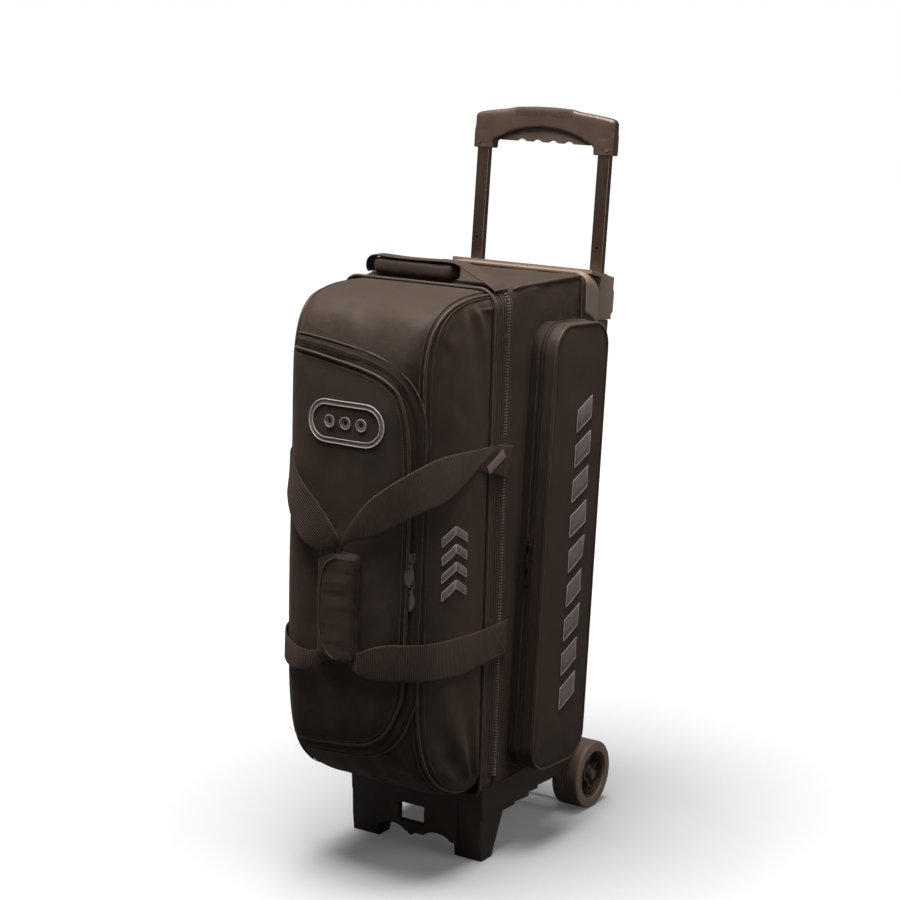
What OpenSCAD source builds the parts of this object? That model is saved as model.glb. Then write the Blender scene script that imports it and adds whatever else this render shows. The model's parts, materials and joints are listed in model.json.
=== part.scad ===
// Upright rolling bag for three bowling balls.
// +X is the bag's right, -Y its front, +Z up. The origin is on the floor, under the middle
// of the whole bag's box. The modules work in the bag's own frame, where X = 0 is the middle
// plane and Y = 0 the piped seam where the front door's box meets its gusset, and placed()
// moves them to the origin.

/* [Body] */
// Width across the two side panels
body_w = 236; // [230:1:242]
// Height of the fabric body's underside above the floor
body_z = 108; // [108:0.5:110]
// Height of the fabric body's top above the floor
body_top = 803; // [800:1:806]
// Distance from the door's seam to the rear piping
body_d = 234; // [232:1:236]
// Thickness of the padded fabric walls
wall = 6; // [5:0.5:7]

/* [Front door] */
// Depth of the shoe compartment in front of the seam
door_d = 146; // [140:1:150]
// Width of the gusset from the seam to the main zipper
gusset_d = 37; // [34:1:38]
// Radius of the door's upright front edges
door_edge_r = 45; // [38:1:50]
// Radius of the curve from the door's front to its top
door_top_r = 85; // [70:1:95]
// Radius of the curve from the door's front to its bottom
door_low_r = 70; // [60:1:80]
// Height of the shoe flap
flap_h = 530; // [510:5:540]

/* [Side pocket] */
// Height of the side pocket
pocket_h = 623; // [600:1:630]
// Width of the side pocket, front to back
pocket_w = 143; // [138:1:146]
// How far the side pocket stands out from the side panel
pocket_d = 44; // [40:1:48]
// Lean of the side pocket towards the back, in degrees
pocket_lean = 3; // [2:0.5:3.5]

/* [Trolley] */
// Lean of the tubes towards the back, in degrees
lean = 4; // [3.5:0.5:4]
// Distance of the tubes from the middle plane
tube_x = 100; // [98:1:102]
// Length of tube showing below the grip
handle_rise = 162; // [150:1:170]
// Distance between the grip's outer faces
grip_w = 231; // [228:1:234]

/* [Wheels] */
// Diameter of a wheel
wheel_d = 101; // [98:1:102]
// Width of a tyre
wheel_w = 43; // [40:1:44]
// Distance of the axle behind the door's seam
axle_y = 312; // [308:1:316]

/* [Hidden] */
$fn = 48;
eps = 0.1;

half_w = body_w / 2;
body_h = body_top - body_z;
gap = 1;                                  // clearance between the door's and the body's zipper edges
zip_y = gusset_d + gap;                   // the main zipper's line
body_y0 = zip_y + gap;                    // front edge of the body's panels

ball_room = 218;                          // a 216 mm ball and its clearance
divider_t = 6;
floor_t = 6;

tube_y = 311.5;                           // tube centre line, at the height tube_top_z
tube_top_z = 801;
inner_w = 19.5;
inner_t = 12.8;
outer_w = 24;
outer_t = 17.5;
tube_wall = 1.2;
tube_grip = 165;                          // inner tube left inside the outer one, handle out
tube_run = 684;                           // length of the outer tube
lock_drop = 140;                          // lock pin below the tubes' mouth
pin_r = 3;
pin_clear = 0.05;
rod_r = 2.5;

wheel_r = wheel_d / 2;
wheel_x = 85;                             // inner face of a tyre
axle_r = 4;
axle_half = 122;
bush_r = 6;
run_clear = 0.05;
tyre_bore_r = 36;

pocket_y = 154;                           // pocket centre, front to back
pocket_z = 435.5;                         // pocket centre, height
pocket_r = 38;
pocket_split = 20;                        // width of the pocket's fixed half
pocket_wall = 4;

flap_x0 = -104;
flap_x1 = 88;
flap_z = 195;
flap_t = 5;
tape_t = 1.2;
tape_w = 11;

strap_w = 50;
strap_t = 3;
strap_x = half_w + 4;                     // inner face of the strap along a side
strap_y = -(door_d + 10);                 // inner face of the strap across the front
strap_r = 49;

shoe_slide_x = 96;
shoe_slide_y = -(door_d + 2);
grip_y0 = -8;
grip_y1 = 10;
grip_mid = 1;
grip_h = 60;

black = [0.16, 0.13, 0.12];
fabric = [0.24, 0.20, 0.18];
webbing = [0.29, 0.24, 0.21];
metal = [0.55, 0.51, 0.48];

wrap_gap = 3;                             // sleeve's inner face in front of the straps' inner face
wrap_t = 22;

// ---- shared shapes ----

// Puts the middle of the bag's box over the origin.
module placed() {
    right = half_w + pocket_d;
    left = wheel_x + wheel_w;
    front = strap_y + wrap_gap - wrap_t;
    back = axle_y + wheel_r;
    translate([-(right - left) / 2, -(front + back) / 2, 0]) children();
}

module along_x(w) {
    rotate([90, 0, 90]) translate([0, 0, -w / 2]) linear_extrude(w) children();
}

module rounded(w, h, r) {
    square([w - 2 * r, h], center = true);
    square([w, h - 2 * r], center = true);
    for (x = [-1, 1], y = [-1, 1]) translate([x * (w / 2 - r), y * (h / 2 - r)]) circle(r);
}

module both_sides() {
    for (s = [-1, 1]) translate([s * tube_x, 0, 0]) children();
}

// The trolley's own frame: Z runs up the tubes and Z = 0 is at their mouth.
module trolley() {
    translate([0, tube_y, tube_top_z]) rotate([-lean, 0, 0]) children();
}

// The side pocket's own frame: X out of the side panel, Z up the leaning pocket.
module pocket() {
    translate([half_w, pocket_y, pocket_z]) rotate([-pocket_lean, 0, 0]) children();
}

module pocket_outline(w, inset) {
    rotate([90, 0, 90]) linear_extrude(w)
        rounded(pocket_w - 2 * inset, pocket_h - 2 * inset, pocket_r - inset);
}

// The door's rounded box, grown by g on its outside, from its front back to y1.
module door_form(g, y1) {
    y0 = -(door_d + g);
    hw = half_w + g;
    r = door_edge_r + g;
    intersection() {
        translate([0, 0, body_z - g]) linear_extrude(body_h + 2 * g) {
            translate([-hw, y0 + r]) square([2 * hw, y1 - y0 - r]);
            translate([-hw + r, y0]) square([2 * (hw - r), r + eps]);
            for (s = [-1, 1]) translate([s * (hw - r), y0 + r]) circle(r);
        }
        along_x(2 * hw + 2) difference() {
            translate([y0, body_z - g]) square([y1 - y0, body_h + 2 * g]);
            corner(y0, body_top + g, door_top_r + g, -1);
            corner(y0, body_z - g, door_low_r + g, 1);
        }
    }
}

// What rounding a square corner at (y, z) takes away; up is 1 for a lower corner.
module corner(y, z, r, up) {
    difference() {
        translate([y - 1, up > 0 ? z - 1 : z - r]) square([r + 1, r + 1]);
        translate([y + r, z + up * r]) circle(r, $fn = 96);
    }
}

module flap_outline(grow) {
    w = flap_x1 - flap_x0 + 2 * grow;
    h = flap_h + 2 * grow;
    r = 52 + grow;
    translate([(flap_x0 + flap_x1) / 2, flap_z + flap_h / 2]) rounded(w, h, r);
}

module flap_prism(grow) {
    translate([0, -door_d / 2, 0]) rotate([90, 0, 0]) linear_extrude(door_d) flap_outline(grow);
}

// ---- base and wheels ----

module foot_profile() {
    polygon([[31, 0], [57, 0], [86, 61], [86, 100], [24, 100], [27, 27]]);
}

module skirt_profile() {
    polygon([
        [24, 98], [27, 62], [114, 60], [114, 64], [153, 61], [153, 67], [178, 65],
        [178, 70], [213, 68], [240, 72], [262, 84], [262, 98]
    ]);
}

module base_tray() {
    deck_z = 98;
    deck_t = 9;
    arm_x = 76;
    arm_t = 12;
    slot_w = 43;
    color(black) difference() {
        union() {
            translate([-110, 24, deck_z]) cube([220, 238, deck_t]);
            for (s = [-1, 1]) {
                translate([s * 86, 0, 0]) along_x(44) foot_profile();
                translate([s * 107, 0, 0]) along_x(6) skirt_profile();
                translate([s * arm_x, 0, 0]) along_x(arm_t) {
                    polygon([
                        [230, 102], [262, 106], [300, 100],
                        [axle_y + 10, 66], [axle_y, 40], [250, 84]
                    ]);
                    translate([axle_y, wheel_r]) circle(17);
                }
            }
            translate([0, 34, 0]) rotate([90, 0, 0]) linear_extrude(10) front_beam();
            translate([-72, 270, 78]) cube([144, 10, 22]);
            for (y = [90, 150, 210]) translate([-104, y, 80]) cube([208, 4, 20]);
        }
        translate([-6, 0, 48]) cube([slot_w, 100, 27], center = true);
        translate([0, axle_y, wheel_r]) rotate([0, 90, 0])
            cylinder(r = axle_r + run_clear, h = 200, center = true);
        for (x = [-80, 80], y = [100, 200]) translate([x, y, deck_z - 1]) cylinder(r = 2.2, h = 20);
    }
}

// The beam between the feet, with its arched lower edge and the middle nub.
module front_beam() {
    difference() {
        translate([-70, 20]) square([140, 80]);
        for (s = [-1, 1]) translate([s * 38, 12]) scale([1.6, 1]) circle(16);
        translate([-6, 48]) square([43, 27], center = true);
    }
    translate([-6, 22]) circle(6);
}

module base_screws() {
    color(metal) for (x = [-80, 80], y = [100, 200]) translate([x, y, 0]) {
        translate([0, 0, 95.5]) cylinder(r = 4.2, h = 2.4);
        translate([0, 0, 95.5]) cylinder(r = 2, h = 17);
    }
}

module axle() {
    color(metal) translate([0, axle_y, wheel_r]) rotate([0, 90, 0])
        cylinder(r = axle_r, h = 2 * axle_half, center = true);
}

module axle_caps() {
    color(black) for (s = [-1, 1]) translate([s * axle_half, axle_y, wheel_r]) rotate([0, s * 90, 0])
        difference() {
            translate([0, 0, -3]) cylinder(r = 7, h = 9);
            translate([0, 0, -4]) cylinder(r = axle_r + 0.02, h = 4.02);
        }
}

// A wheel part's own frame: X runs out from the tyre's inner face.
module wheel(s) {
    translate([s * wheel_x, axle_y, wheel_r]) rotate([0, s * 90, 0]) children();
}

module wheel_bush(s) {
    color("ivory") wheel(s) difference() {
        union() {
            cylinder(r = bush_r, h = 33);
            translate([0, 0, -1]) cylinder(r = 9, h = 1.5);
        }
        translate([0, 0, -2]) cylinder(r = axle_r + run_clear, h = 40);
    }
}

module hub(s) {
    spokes = 5;
    rim_r = tyre_bore_r - 0.05;
    color(black) wheel(s) difference() {
        union() {
            difference() {
                translate([0, 0, 3]) cylinder(r = rim_r, h = wheel_w - 7);
                translate([0, 0, 14]) cylinder(r = rim_r - 2.5, h = wheel_w);
                translate([0, 0, 2]) cylinder(r = rim_r - 2.5, h = 9);
            }
            translate([0, 0, 1]) cylinder(r = 12, h = 32);
            for (i = [0 : spokes - 1]) rotate(i * 360 / spokes + 18) y_spoke(rim_r);
        }
        translate([0, 0, -1]) cylinder(r = bush_r + 0.01, h = 50);
        translate([0, 0, 0]) cylinder(r = 9.2, h = 1.6);
    }
}

// A spoke that leaves the boss as one rib and forks to meet the rim.
module y_spoke(rim_r) {
    fork = 20;
    rib = 2.6;
    translate([0, 0, 14]) linear_extrude(17) {
        translate([10, -rib / 2]) square([fork - 9, rib]);
        for (a = [-32, 32]) translate([fork, 0]) rotate(a) translate([-1, -rib / 2]) square([15.5, rib]);
    }
}

module tyre(s) {
    edge = 3.5;
    mid = wheel_w * 0.42;
    color([0.12, 0.10, 0.10]) wheel(s) rotate_extrude($fn = 96) difference() {
        translate([tyre_bore_r, 0]) square([wheel_r - tyre_bore_r, wheel_w]);
        for (z = [0, wheel_w]) tyre_shoulder(z, edge);
        translate([wheel_r, mid - 2.5]) circle(0.9);
        translate([wheel_r, mid + 2.5]) circle(0.9);
    }
}

module tyre_shoulder(z, edge) {
    inward = z > 0 ? -1 : 1;
    difference() {
        translate([wheel_r - edge, z > 0 ? z - edge : -1]) square([edge + 1, edge + 1]);
        translate([wheel_r - edge, z + inward * edge]) circle(edge);
    }
}

// ---- trolley ----

module tube(w, t, len) {
    linear_extrude(len) difference() {
        rounded(w, t, 3);
        rounded(w - 2 * tube_wall, t - 2 * tube_wall, 2);
    }
}

module outer_tube(s) {
    color(metal) trolley() translate([s * tube_x, 0, 0]) difference() {
        translate([0, 0, -tube_run]) tube(outer_w, outer_t, tube_run - 8);
        for (z = [-lock_drop, -lock_drop - handle_rise + 7]) translate([0, 0, z]) rotate([90, 0, 0])
            cylinder(r = pin_r + 0.3, h = 20);
    }
}

module tube_bushes() {
    color("ivory") trolley() both_sides() difference() {
        union() {
            translate([0, 0, -32]) linear_extrude(25)
                rounded(outer_w - 2 * tube_wall - 0.2, outer_t - 2 * tube_wall - 0.2, 2);
            translate([0, 0, -7.9]) linear_extrude(3.9) rounded(outer_w + 2, outer_t + 2, 4);
        }
        translate([0, 0, -40]) linear_extrude(50) rounded(inner_w + 0.3, inner_t + 0.3, 3);
    }
}

module rear_housing() {
    y0 = -12;
    z0 = -692;
    top = -70;
    color(black) trolley() difference() {
        union() {
            translate([-112, y0, z0]) cube([224, 4, top - z0]);
            both_sides() translate([0, 2.5, z0]) linear_extrude(top - z0) rounded(34, 29, 6);
            for (z = [-640 : 80 : -160]) translate([-84, y0 + 3.5, z]) cube([168, 4, 5]);
            translate([-112, y0, z0]) cube([224, 22, 30]);
        }
        both_sides() translate([0, 0, z0 + 6]) linear_extrude(tube_run + 20)
            rounded(outer_w + 0.4, outer_t + 0.4, 3.2);
        for (s = [-1, 1], z = [-600, -350, -110]) translate([s * 72, 0, z]) rotate([90, 0, 0])
            cylinder(r = 2.2, h = 40, center = true);
    }
}

module housing_screws() {
    color(metal) trolley() for (s = [-1, 1], z = [-600, -350, -110]) translate([s * 72, 0, z])
        rotate([90, 0, 0]) {
        translate([0, 0, 5.5]) cylinder(r = 4.2, h = 2.4);
        translate([0, 0, 5.5]) cylinder(r = 2, h = 6.4);
    }
}

module top_bracket() {
    color(black) trolley() difference() {
        union() {
            along_x(232) polygon([
                [-15, -69], [22, -69], [22, -62], [27, -58], [27, -30], [24, -26],
                [24, -9], [-44, 3], [-44, -3], [-15, -8]
            ]);
        }
        both_sides() translate([0, 0, -80]) linear_extrude(72.1) rounded(outer_w + 0.4, outer_t + 0.4, 3.2);
        both_sides() translate([0, 0, -8]) linear_extrude(20) rounded(outer_w + 2.4, outer_t + 2.4, 4.2);
        translate([-80, -10, -62]) cube([160, 28, 48]);
        for (x = [-60, 60]) translate([x, 0, -38]) rotate([90, 0, 0])
            cylinder(r = 2.2, h = 80, center = true);
    }
}

module bracket_screws() {
    color(metal) trolley() for (x = [-60, 60]) translate([x, 0, -38]) rotate([90, 0, 0]) {
        translate([0, 0, -29.5]) cylinder(r = 4.2, h = 2.4);
        translate([0, 0, -29.5]) cylinder(r = 2, h = 43);
    }
}

module inner_tube(s) {
    color(metal) trolley() translate([s * tube_x, 0, 0]) difference() {
        translate([0, 0, -tube_grip]) tube(inner_w, inner_t, tube_grip + handle_rise + 30);
        translate([0, 0, -lock_drop]) rotate([90, 0, 0]) cylinder(r = pin_r + 0.1, h = 20);
        translate([0, 0, 32]) rotate([90, 0, 0]) cylinder(r = 1.6, h = 20);
        translate([s * 6, 0, handle_rise + 8]) rotate([90, 0, 0]) cylinder(r = 1.6, h = 40, center = true);
    }
}

module lock_housings() {
    color("ivory") trolley() both_sides() difference() {
        translate([0, 0, -tube_grip - 3]) linear_extrude(44)
            rounded(inner_w - 2 * tube_wall - 0.2, inner_t - 2 * tube_wall - 0.2, 1.8);
        translate([0, 0, -lock_drop]) rotate([90, 0, 0])
            cylinder(r = pin_r + pin_clear, h = 40, center = true);
        translate([0, 0, -lock_drop + 4]) cylinder(r = rod_r + 0.2, h = 40);
    }
}

module lock_pin(s) {
    color(metal) trolley() translate([s * tube_x, -7.3, -lock_drop]) rotate([-90, 0, 0])
        cylinder(r = pin_r, h = 9.6);
}

module pull_rods() {
    color(metal) trolley() both_sides() translate([0, 0, -lock_drop + 8])
        cylinder(r = rod_r, h = lock_drop + handle_rise + 26.9);
}

// Front view of the grip: two legs joined by an arched bar.
module grip_outline() {
    arch_r = 163;
    crown_r = 620;
    z0 = handle_rise;
    difference() {
        intersection() {
            translate([0, z0 + grip_h / 2 + 1]) rounded(grip_w, grip_h + 2, 13);
            translate([0, z0 + grip_h + 2 - crown_r]) circle(crown_r, $fn = 360);
        }
        intersection() {
            translate([0, z0 + 34 - arch_r]) circle(arch_r, $fn = 180);
            translate([0, z0 + 15]) square([166, 60], center = true);
        }
    }
    for (s = [-1, 1]) translate([s * tube_x, z0 + 9]) square([grip_w - 2 * tube_x, 18], center = true);
}

// The hollow between the grip's halves that the release lever moves in.
module lever_room() {
    z0 = handle_rise;
    translate([0, -2.5, 0]) rotate([90, 0, 0]) mirror([0, 0, 1]) linear_extrude(9) {
        difference() {
            translate([-106, z0 + 2]) square([212, 49]);
            for (s = [-1, 1]) translate([s * 98, z0 + 16]) square([30, 31], center = true);
        }
    }
}

module grip_half(y0, y1) {
    difference() {
        translate([0, y1, 0]) rotate([90, 0, 0]) linear_extrude(y1 - y0) grip_outline();
        lever_room();
        both_sides() translate([0, 0, handle_rise - 5]) linear_extrude(35.4)
            rounded(inner_w + 0.2, inner_t + 0.2, 3);
        both_sides() translate([0, 0, handle_rise]) cylinder(r = rod_r + 0.3, h = 45);
        for (s = [-1, 1]) translate([s * (tube_x + 6), 0, handle_rise + 8]) rotate([90, 0, 0])
            cylinder(r = 1.6, h = 40, center = true);
    }
}

module grip_front() {
    color(black) trolley() grip_half(grip_y0, grip_mid);
}

module grip_rear() {
    color(black) trolley() grip_half(grip_mid, grip_y1);
}

// Soft ribbed pad over the middle of the bar.
module grip_pad() {
    crown_r = 620;
    top = handle_rise + grip_h + 2;
    ribs = 26;
    color([0.2, 0.17, 0.16]) trolley() translate([0, grip_y1, 0]) rotate([90, 0, 0])
        linear_extrude(grip_y1 - grip_y0) {
        intersection() {
            difference() {
                translate([0, top - crown_r]) circle(crown_r + 1.4, $fn = 360);
                translate([0, top - crown_r]) circle(crown_r + 0.02, $fn = 360);
            }
            translate([-4, top]) square([104, 20], center = true);
        }
        for (i = [0 : ribs - 1]) rib(-4 - 50 + 100 * i / (ribs - 1), top - crown_r, crown_r + 1.3);
    }
}

module rib(x, zc, r) {
    translate([x, zc + sqrt(r * r - x * x)]) circle(0.9, $fn = 12);
}

module grip_rivets() {
    color(metal) trolley() for (s = [-1, 1]) translate([s * (tube_x + 6), 0, handle_rise + 8])
        rotate([90, 0, 0]) {
        translate([0, 0, -10.6]) cylinder(r = 1.5, h = 19.2);
        translate([0, 0, 8.05]) cylinder(r = 2.6, h = 0.8);
        translate([0, 0, -10.85]) cylinder(r = 2.6, h = 0.8);
    }
}

// Squeeze bar under the grip, with finger waves and arms that lift the pull rods.
module release_lever() {
    z0 = handle_rise;
    finger = 26;
    color([0.2, 0.17, 0.16]) trolley() translate([0, 6, 0]) rotate([90, 0, 0]) linear_extrude(8)
        difference() {
        union() {
            translate([0, z0 + 27]) rounded(152, 28, 5);
            for (s = [-1, 1]) translate([s * 86, z0 + 38]) square([36, 6], center = true);
        }
        for (i = [-1.5 : 1.5]) translate([i * finger, z0 + 1.5]) circle(15);
    }
}

module lever_spring() {
    turns = 4;
    color(metal) trolley() translate([0, 2, handle_rise + 41])
        linear_extrude(9, twist = -360 * turns, slices = 64)
        translate([2.6, 0]) circle(0.6, $fn = 8);
}

// ---- soft body ----

module side_panel(s) {
    color(fabric) translate([s * (half_w - wall / 2), 0, 0]) along_x(wall)
        translate([body_y0, body_z]) square([body_d - body_y0, body_h]);
}

module top_panel() {
    color(fabric) translate([-half_w + wall, body_y0, body_top - wall])
        cube([body_w - 2 * wall, body_d - body_y0, wall]);
}

// Padded back, thicker at the top, that fills the space in front of the leaning tubes.
module back_pad() {
    back_top = tube_y - 16.5;
    back_low = back_top - body_h * tan(lean);
    round_r = 50;
    color(fabric) along_x(body_w) difference() {
        polygon([
            [body_d + 0.2, body_z], [back_low, body_z], [back_top, body_top], [body_d + 0.2, body_top]
        ]);
        difference() {
            translate([back_top - round_r, body_top - round_r]) square(round_r + 5);
            translate([back_top - round_r - 3, body_top - round_r]) circle(round_r, $fn = 96);
        }
    }
}

module floor_board() {
    color(black) difference() {
        translate([-half_w + wall + 0.2, body_y0, body_z])
            cube([body_w - 2 * wall - 0.4, body_d - body_y0 - 0.2, floor_t]);
        for (x = [-80, 80], y = [100, 200]) translate([x, y, body_z - 1]) cylinder(r = 2.1, h = 20);
    }
}

// Two padded shelves between the balls, each with a round seat.
module ball_dividers() {
    color(fabric) for (i = [1, 2])
        translate([0, 0, body_z + floor_t + i * (ball_room + 1) + (i - 1) * divider_t]) difference() {
            translate([-half_w + wall + 0.2, body_y0 + 3, 0])
                cube([body_w - 2 * wall - 0.4, body_d - body_y0 - 4, divider_t]);
            translate([0, (body_d + body_y0) / 2 - 18, -1]) cylinder(r = 62, h = divider_t + 2, $fn = 96);
        }
}

// ---- front door ----

module door_shell() {
    inner_t = wall - 1;
    color(fabric) difference() {
        door_form(0, 0);
        door_form(-inner_t, 1);
        intersection() {
            flap_prism(-9);
            translate([-half_w, -door_d - 1, 0]) cube([body_w, 60, body_top]);
        }
    }
}

module door_back() {
    color(black) translate([-half_w + wall, -6, body_z + wall])
        cube([body_w - 2 * wall, 4, body_h - 2 * wall]);
}

module door_gusset() {
    color(fabric) difference() {
        translate([-half_w, eps, body_z]) cube([body_w, gusset_d - eps, body_h]);
        translate([-half_w + wall, -1, body_z + wall])
            cube([body_w - 2 * wall, gusset_d + 2, body_h - 2 * wall]);
    }
}

module shoe_flap() {
    color(fabric) intersection() {
        difference() {
            door_form(flap_t, 0);
            door_form(eps, 1);
        }
        flap_prism(0);
    }
}

module shoe_zip_tape() {
    color([0.1, 0.1, 0.1]) intersection() {
        difference() {
            door_form(tape_t + eps, 0);
            door_form(eps, 1);
        }
        difference() {
            flap_prism(13);
            flap_prism(0.4);
        }
    }
}

// Inverted U of zipper tape over the top and down both sides, standing on the fabric.
module zip_arch(y0, y1) {
    difference() {
        translate([-half_w - tape_t, y0, body_z + 20])
            cube([body_w + 2 * tape_t, y1 - y0, body_h - 20 + tape_t]);
        translate([-half_w - 0.05, y0 - 1, body_z]) cube([body_w + 0.1, y1 - y0 + 2, body_h + 0.05]);
    }
}

module main_zip_door() {
    color([0.1, 0.1, 0.1]) zip_arch(zip_y - gap - tape_w, zip_y - gap);
}

module main_zip_body() {
    color([0.1, 0.1, 0.1]) zip_arch(zip_y + gap, zip_y + gap + tape_w);
}

slider_eye = 4.1;                         // height of the pull's pivot over the fabric

// A zipper slider: a body, and a bridge that the pull hangs from. Z is out of the fabric.
module slider_body() {
    difference() {
        union() {
            translate([0, 0, 1.5]) cube([9, 13, 3], center = true);
            translate([0, 0, 3.5]) cube([3, 10, 5], center = true);
        }
        translate([0, -3, slider_eye]) rotate([0, 90, 0]) cylinder(r = 1.05, h = 10, center = true);
    }
}

// A pull: an eye round the bridge and an oval plate that hangs along -Y.
module oval_pull(len, w) {
    eye = 3.2;
    difference() {
        union() {
            rotate([0, 90, 0]) cylinder(r = 0.95, h = 8, center = true);
            for (s = [-1, 1]) translate([s * 3.3, -eye, 0]) cube([1.4, 2 * eye, 1.6], center = true);
            translate([0, -2 * eye - len / 2, -0.8])
                linear_extrude(1.6) scale([w / len, 1]) circle(len / 2);
            translate([0, -2 * eye - 1, 0]) cube([8, 4, 1.6], center = true);
        }
        translate([0, -2 * eye - 4.5, -2]) cylinder(r = 1.4, h = 4);
    }
}

// A pull made of a plain loop of cord that hangs along -Y from a round bar.
module loop_pull(len, w) {
    cord = 1.8;
    bar_gap = 4.4;
    rotate([0, 90, 0]) cylinder(r = 0.95, h = w - 1, center = true);
    translate([0, 0, -cord / 2]) linear_extrude(cord) difference() {
        translate([0, (cord - len) / 2]) rounded(w, len, w / 2 - 0.2);
        translate([0, (cord - len) / 2]) rounded(w - 2 * cord, len - 2 * cord, w / 2 - cord - 0.2);
        square([bar_gap, 3 * cord], center = true);
    }
}

// The shoe zipper's frame at height z: Z points out of the door's front.
module shoe_zip_at(z) {
    translate([shoe_slide_x, shoe_slide_y + 4.5, z]) rotate([90, 0, 0]) children();
}

shoe_upper_z = 470;
shoe_lower_z = 436;

module shoe_slider(z) {
    color(metal) shoe_zip_at(z) slider_body();
}

module shoe_pull(z, out) {
    color(metal) shoe_zip_at(z) translate([0, -3, slider_eye]) rotate([-out, 0, 0]) oval_pull(27, 14);
}

// The main zipper's slider stands on the left side's tapes, and runs up along Z.
main_slide_z = 150;

module main_zip_place() {
    translate([-(half_w + tape_t + 0.3), zip_y, main_slide_z]) rotate([90, 0, -90]) children();
}

module main_slider() {
    color(metal) main_zip_place() slider_body();
}

module main_pull() {
    color(metal) main_zip_place() translate([0, -3, slider_eye]) oval_pull(22, 9);
}

// ---- side pocket ----

module pocket_base() {
    color(fabric) pocket() difference() {
        translate([0.2, 0, 0]) pocket_outline(pocket_split - 0.5, 0);
        translate([-1, 0, 0]) pocket_outline(pocket_split + 2, pocket_wall);
    }
}

module pocket_lid() {
    color(fabric) pocket() difference() {
        translate([pocket_split + 0.3, 0, 0]) pocket_outline(pocket_d - pocket_split - 0.3, 0);
        translate([pocket_split - 1, 0, 0])
            pocket_outline(pocket_d - pocket_split + 1 - pocket_wall, pocket_wall);
    }
}

// The pocket zipper's frame: Z points forward, out of the pocket's front gusset.
module pocket_zip_at(z) {
    pocket() translate([pocket_split, -pocket_w / 2 - 0.3, z]) rotate([90, 0, 0]) children();
}

pocket_upper_z = 14;
pocket_lower_z = -16;

module pocket_slider(z) {
    color(metal) pocket_zip_at(z) slider_body();
}

module pocket_pull(z, out) {
    color(black) pocket_zip_at(z) translate([0, -3, slider_eye]) rotate([-out, 0, 0]) loop_pull(26, 9);
}

// ---- straps and handles ----

// A band along one side, round the door's edge and on to the front.
module side_run(s, y1, z0, z1) {
    mirror([s < 0 ? 1 : 0, 0, 0]) {
        translate([strap_x, strap_y + strap_r, z0]) cube([strap_t, y1 - strap_y - strap_r, z1 - z0]);
        translate([strap_x - strap_r, strap_y + strap_r, z0]) intersection() {
            difference() {
                cylinder(r = strap_r + strap_t, h = z1 - z0, $fn = 96);
                translate([0, 0, -1]) cylinder(r = strap_r, h = z1 - z0 + 2, $fn = 96);
            }
            translate([0, -strap_r - strap_t, -1])
                cube([strap_r + strap_t, strap_r + strap_t + eps, z1 - z0 + 2]);
        }
    }
}

module front_run(points) {
    translate([0, strap_y, 0]) rotate([90, 0, 0]) linear_extrude(strap_t) polygon(points);
}

module strap_right() {
    x = strap_x - strap_r + eps;
    color(webbing) {
        side_run(1, 60, 545, 545 + strap_w);
        front_run([[x, 545], [x, 595], [46, 546], [19, 514], [3, 470], [12, 470], [52, 498]]);
        side_run(1, 52, 300, 300 + strap_w);
        front_run([[x, 300], [x, 350], [27, 334], [27, 306]]);
    }
}

module strap_left() {
    x = -(strap_x - strap_r + eps);
    color(webbing) {
        side_run(-1, 60, 535, 535 + strap_w);
        front_run([[x, 535], [x, 585], [-40, 545], [-14, 505], [1, 470], [-12, 470], [-50, 490]]);
        side_run(-1, 52, 300, 300 + strap_w);
        front_run([[x, 300], [x, 350], [-37, 334], [-37, 306]]);
    }
}

// Hook-and-loop sleeve that gathers the two straps into one carrying handle.
module wrap_handle() {
    color(webbing) translate([-5, strap_y + wrap_gap, 392]) rotate([90, 0, 0])
        linear_extrude(wrap_t) rounded(62, 148, 8);
}

top_pad_x = -22;
top_pad_len = 134;
top_pad_y = 31;
top_pad_z = 819;
top_hinge_y = 49;
top_hinge_z = 808;

module top_handle_pad() {
    color(fabric) translate([top_pad_x, top_pad_y, top_pad_z]) rotate([0, 90, 0])
        linear_extrude(top_pad_len, center = true) rounded(25, 28, 11);
}

// Webbing on each side of the pad, that narrows to a round end where it is sewn to the top.
module top_handle_web() {
    rise = atan2(top_pad_z - top_hinge_z, top_hinge_y - top_pad_y);
    x0 = top_pad_x - top_pad_len / 2 - 0.2;
    x1 = top_pad_x + top_pad_len / 2 + 0.2;
    end_x = 116;
    end_r = 3.2;
    color(webbing) translate([0, top_hinge_y, top_hinge_z]) rotate([-rise, 0, 0]) {
        translate([0, 0, -1.5]) linear_extrude(3) {
            polygon([[x0, -34], [x0, -8], [12 - end_x, 0], [-end_x, 0], [-end_x, -8]]);
            polygon([[x1, -34], [x1, -8], [end_x - 12, 0], [end_x, 0], [end_x, -8]]);
        }
        for (s = [-1, 1]) translate([s * (end_x - 6), 0, 0]) rotate([0, 90, 0])
            cylinder(r = end_r, h = 12, center = true);
    }
}

placed() base_tray();
placed() base_screws();
placed() axle();
placed() axle_caps();
placed() wheel_bush(-1);  // wheel_bush_left
placed() wheel_bush(1);  // wheel_bush_right
placed() hub(-1);  // hub_left
placed() hub(1);  // hub_right
placed() tyre(-1);  // tyre_left
placed() tyre(1);  // tyre_right
placed() outer_tube(-1);  // outer_tube_left
placed() outer_tube(1);  // outer_tube_right
placed() tube_bushes();
placed() rear_housing();
placed() housing_screws();
placed() top_bracket();
placed() bracket_screws();
placed() inner_tube(-1);  // inner_tube_left
placed() inner_tube(1);  // inner_tube_right
placed() lock_housings();
placed() grip_front();
placed() grip_rear();
placed() grip_pad();
placed() grip_rivets();
placed() release_lever();
placed() pull_rods();
placed() lever_spring();
placed() lock_pin(-1);  // lock_pin_left
placed() lock_pin(1);  // lock_pin_right
placed() side_panel(-1);  // side_panel_left
placed() side_panel(1);  // side_panel_right
placed() top_panel();
placed() back_pad();
placed() floor_board();
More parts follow.
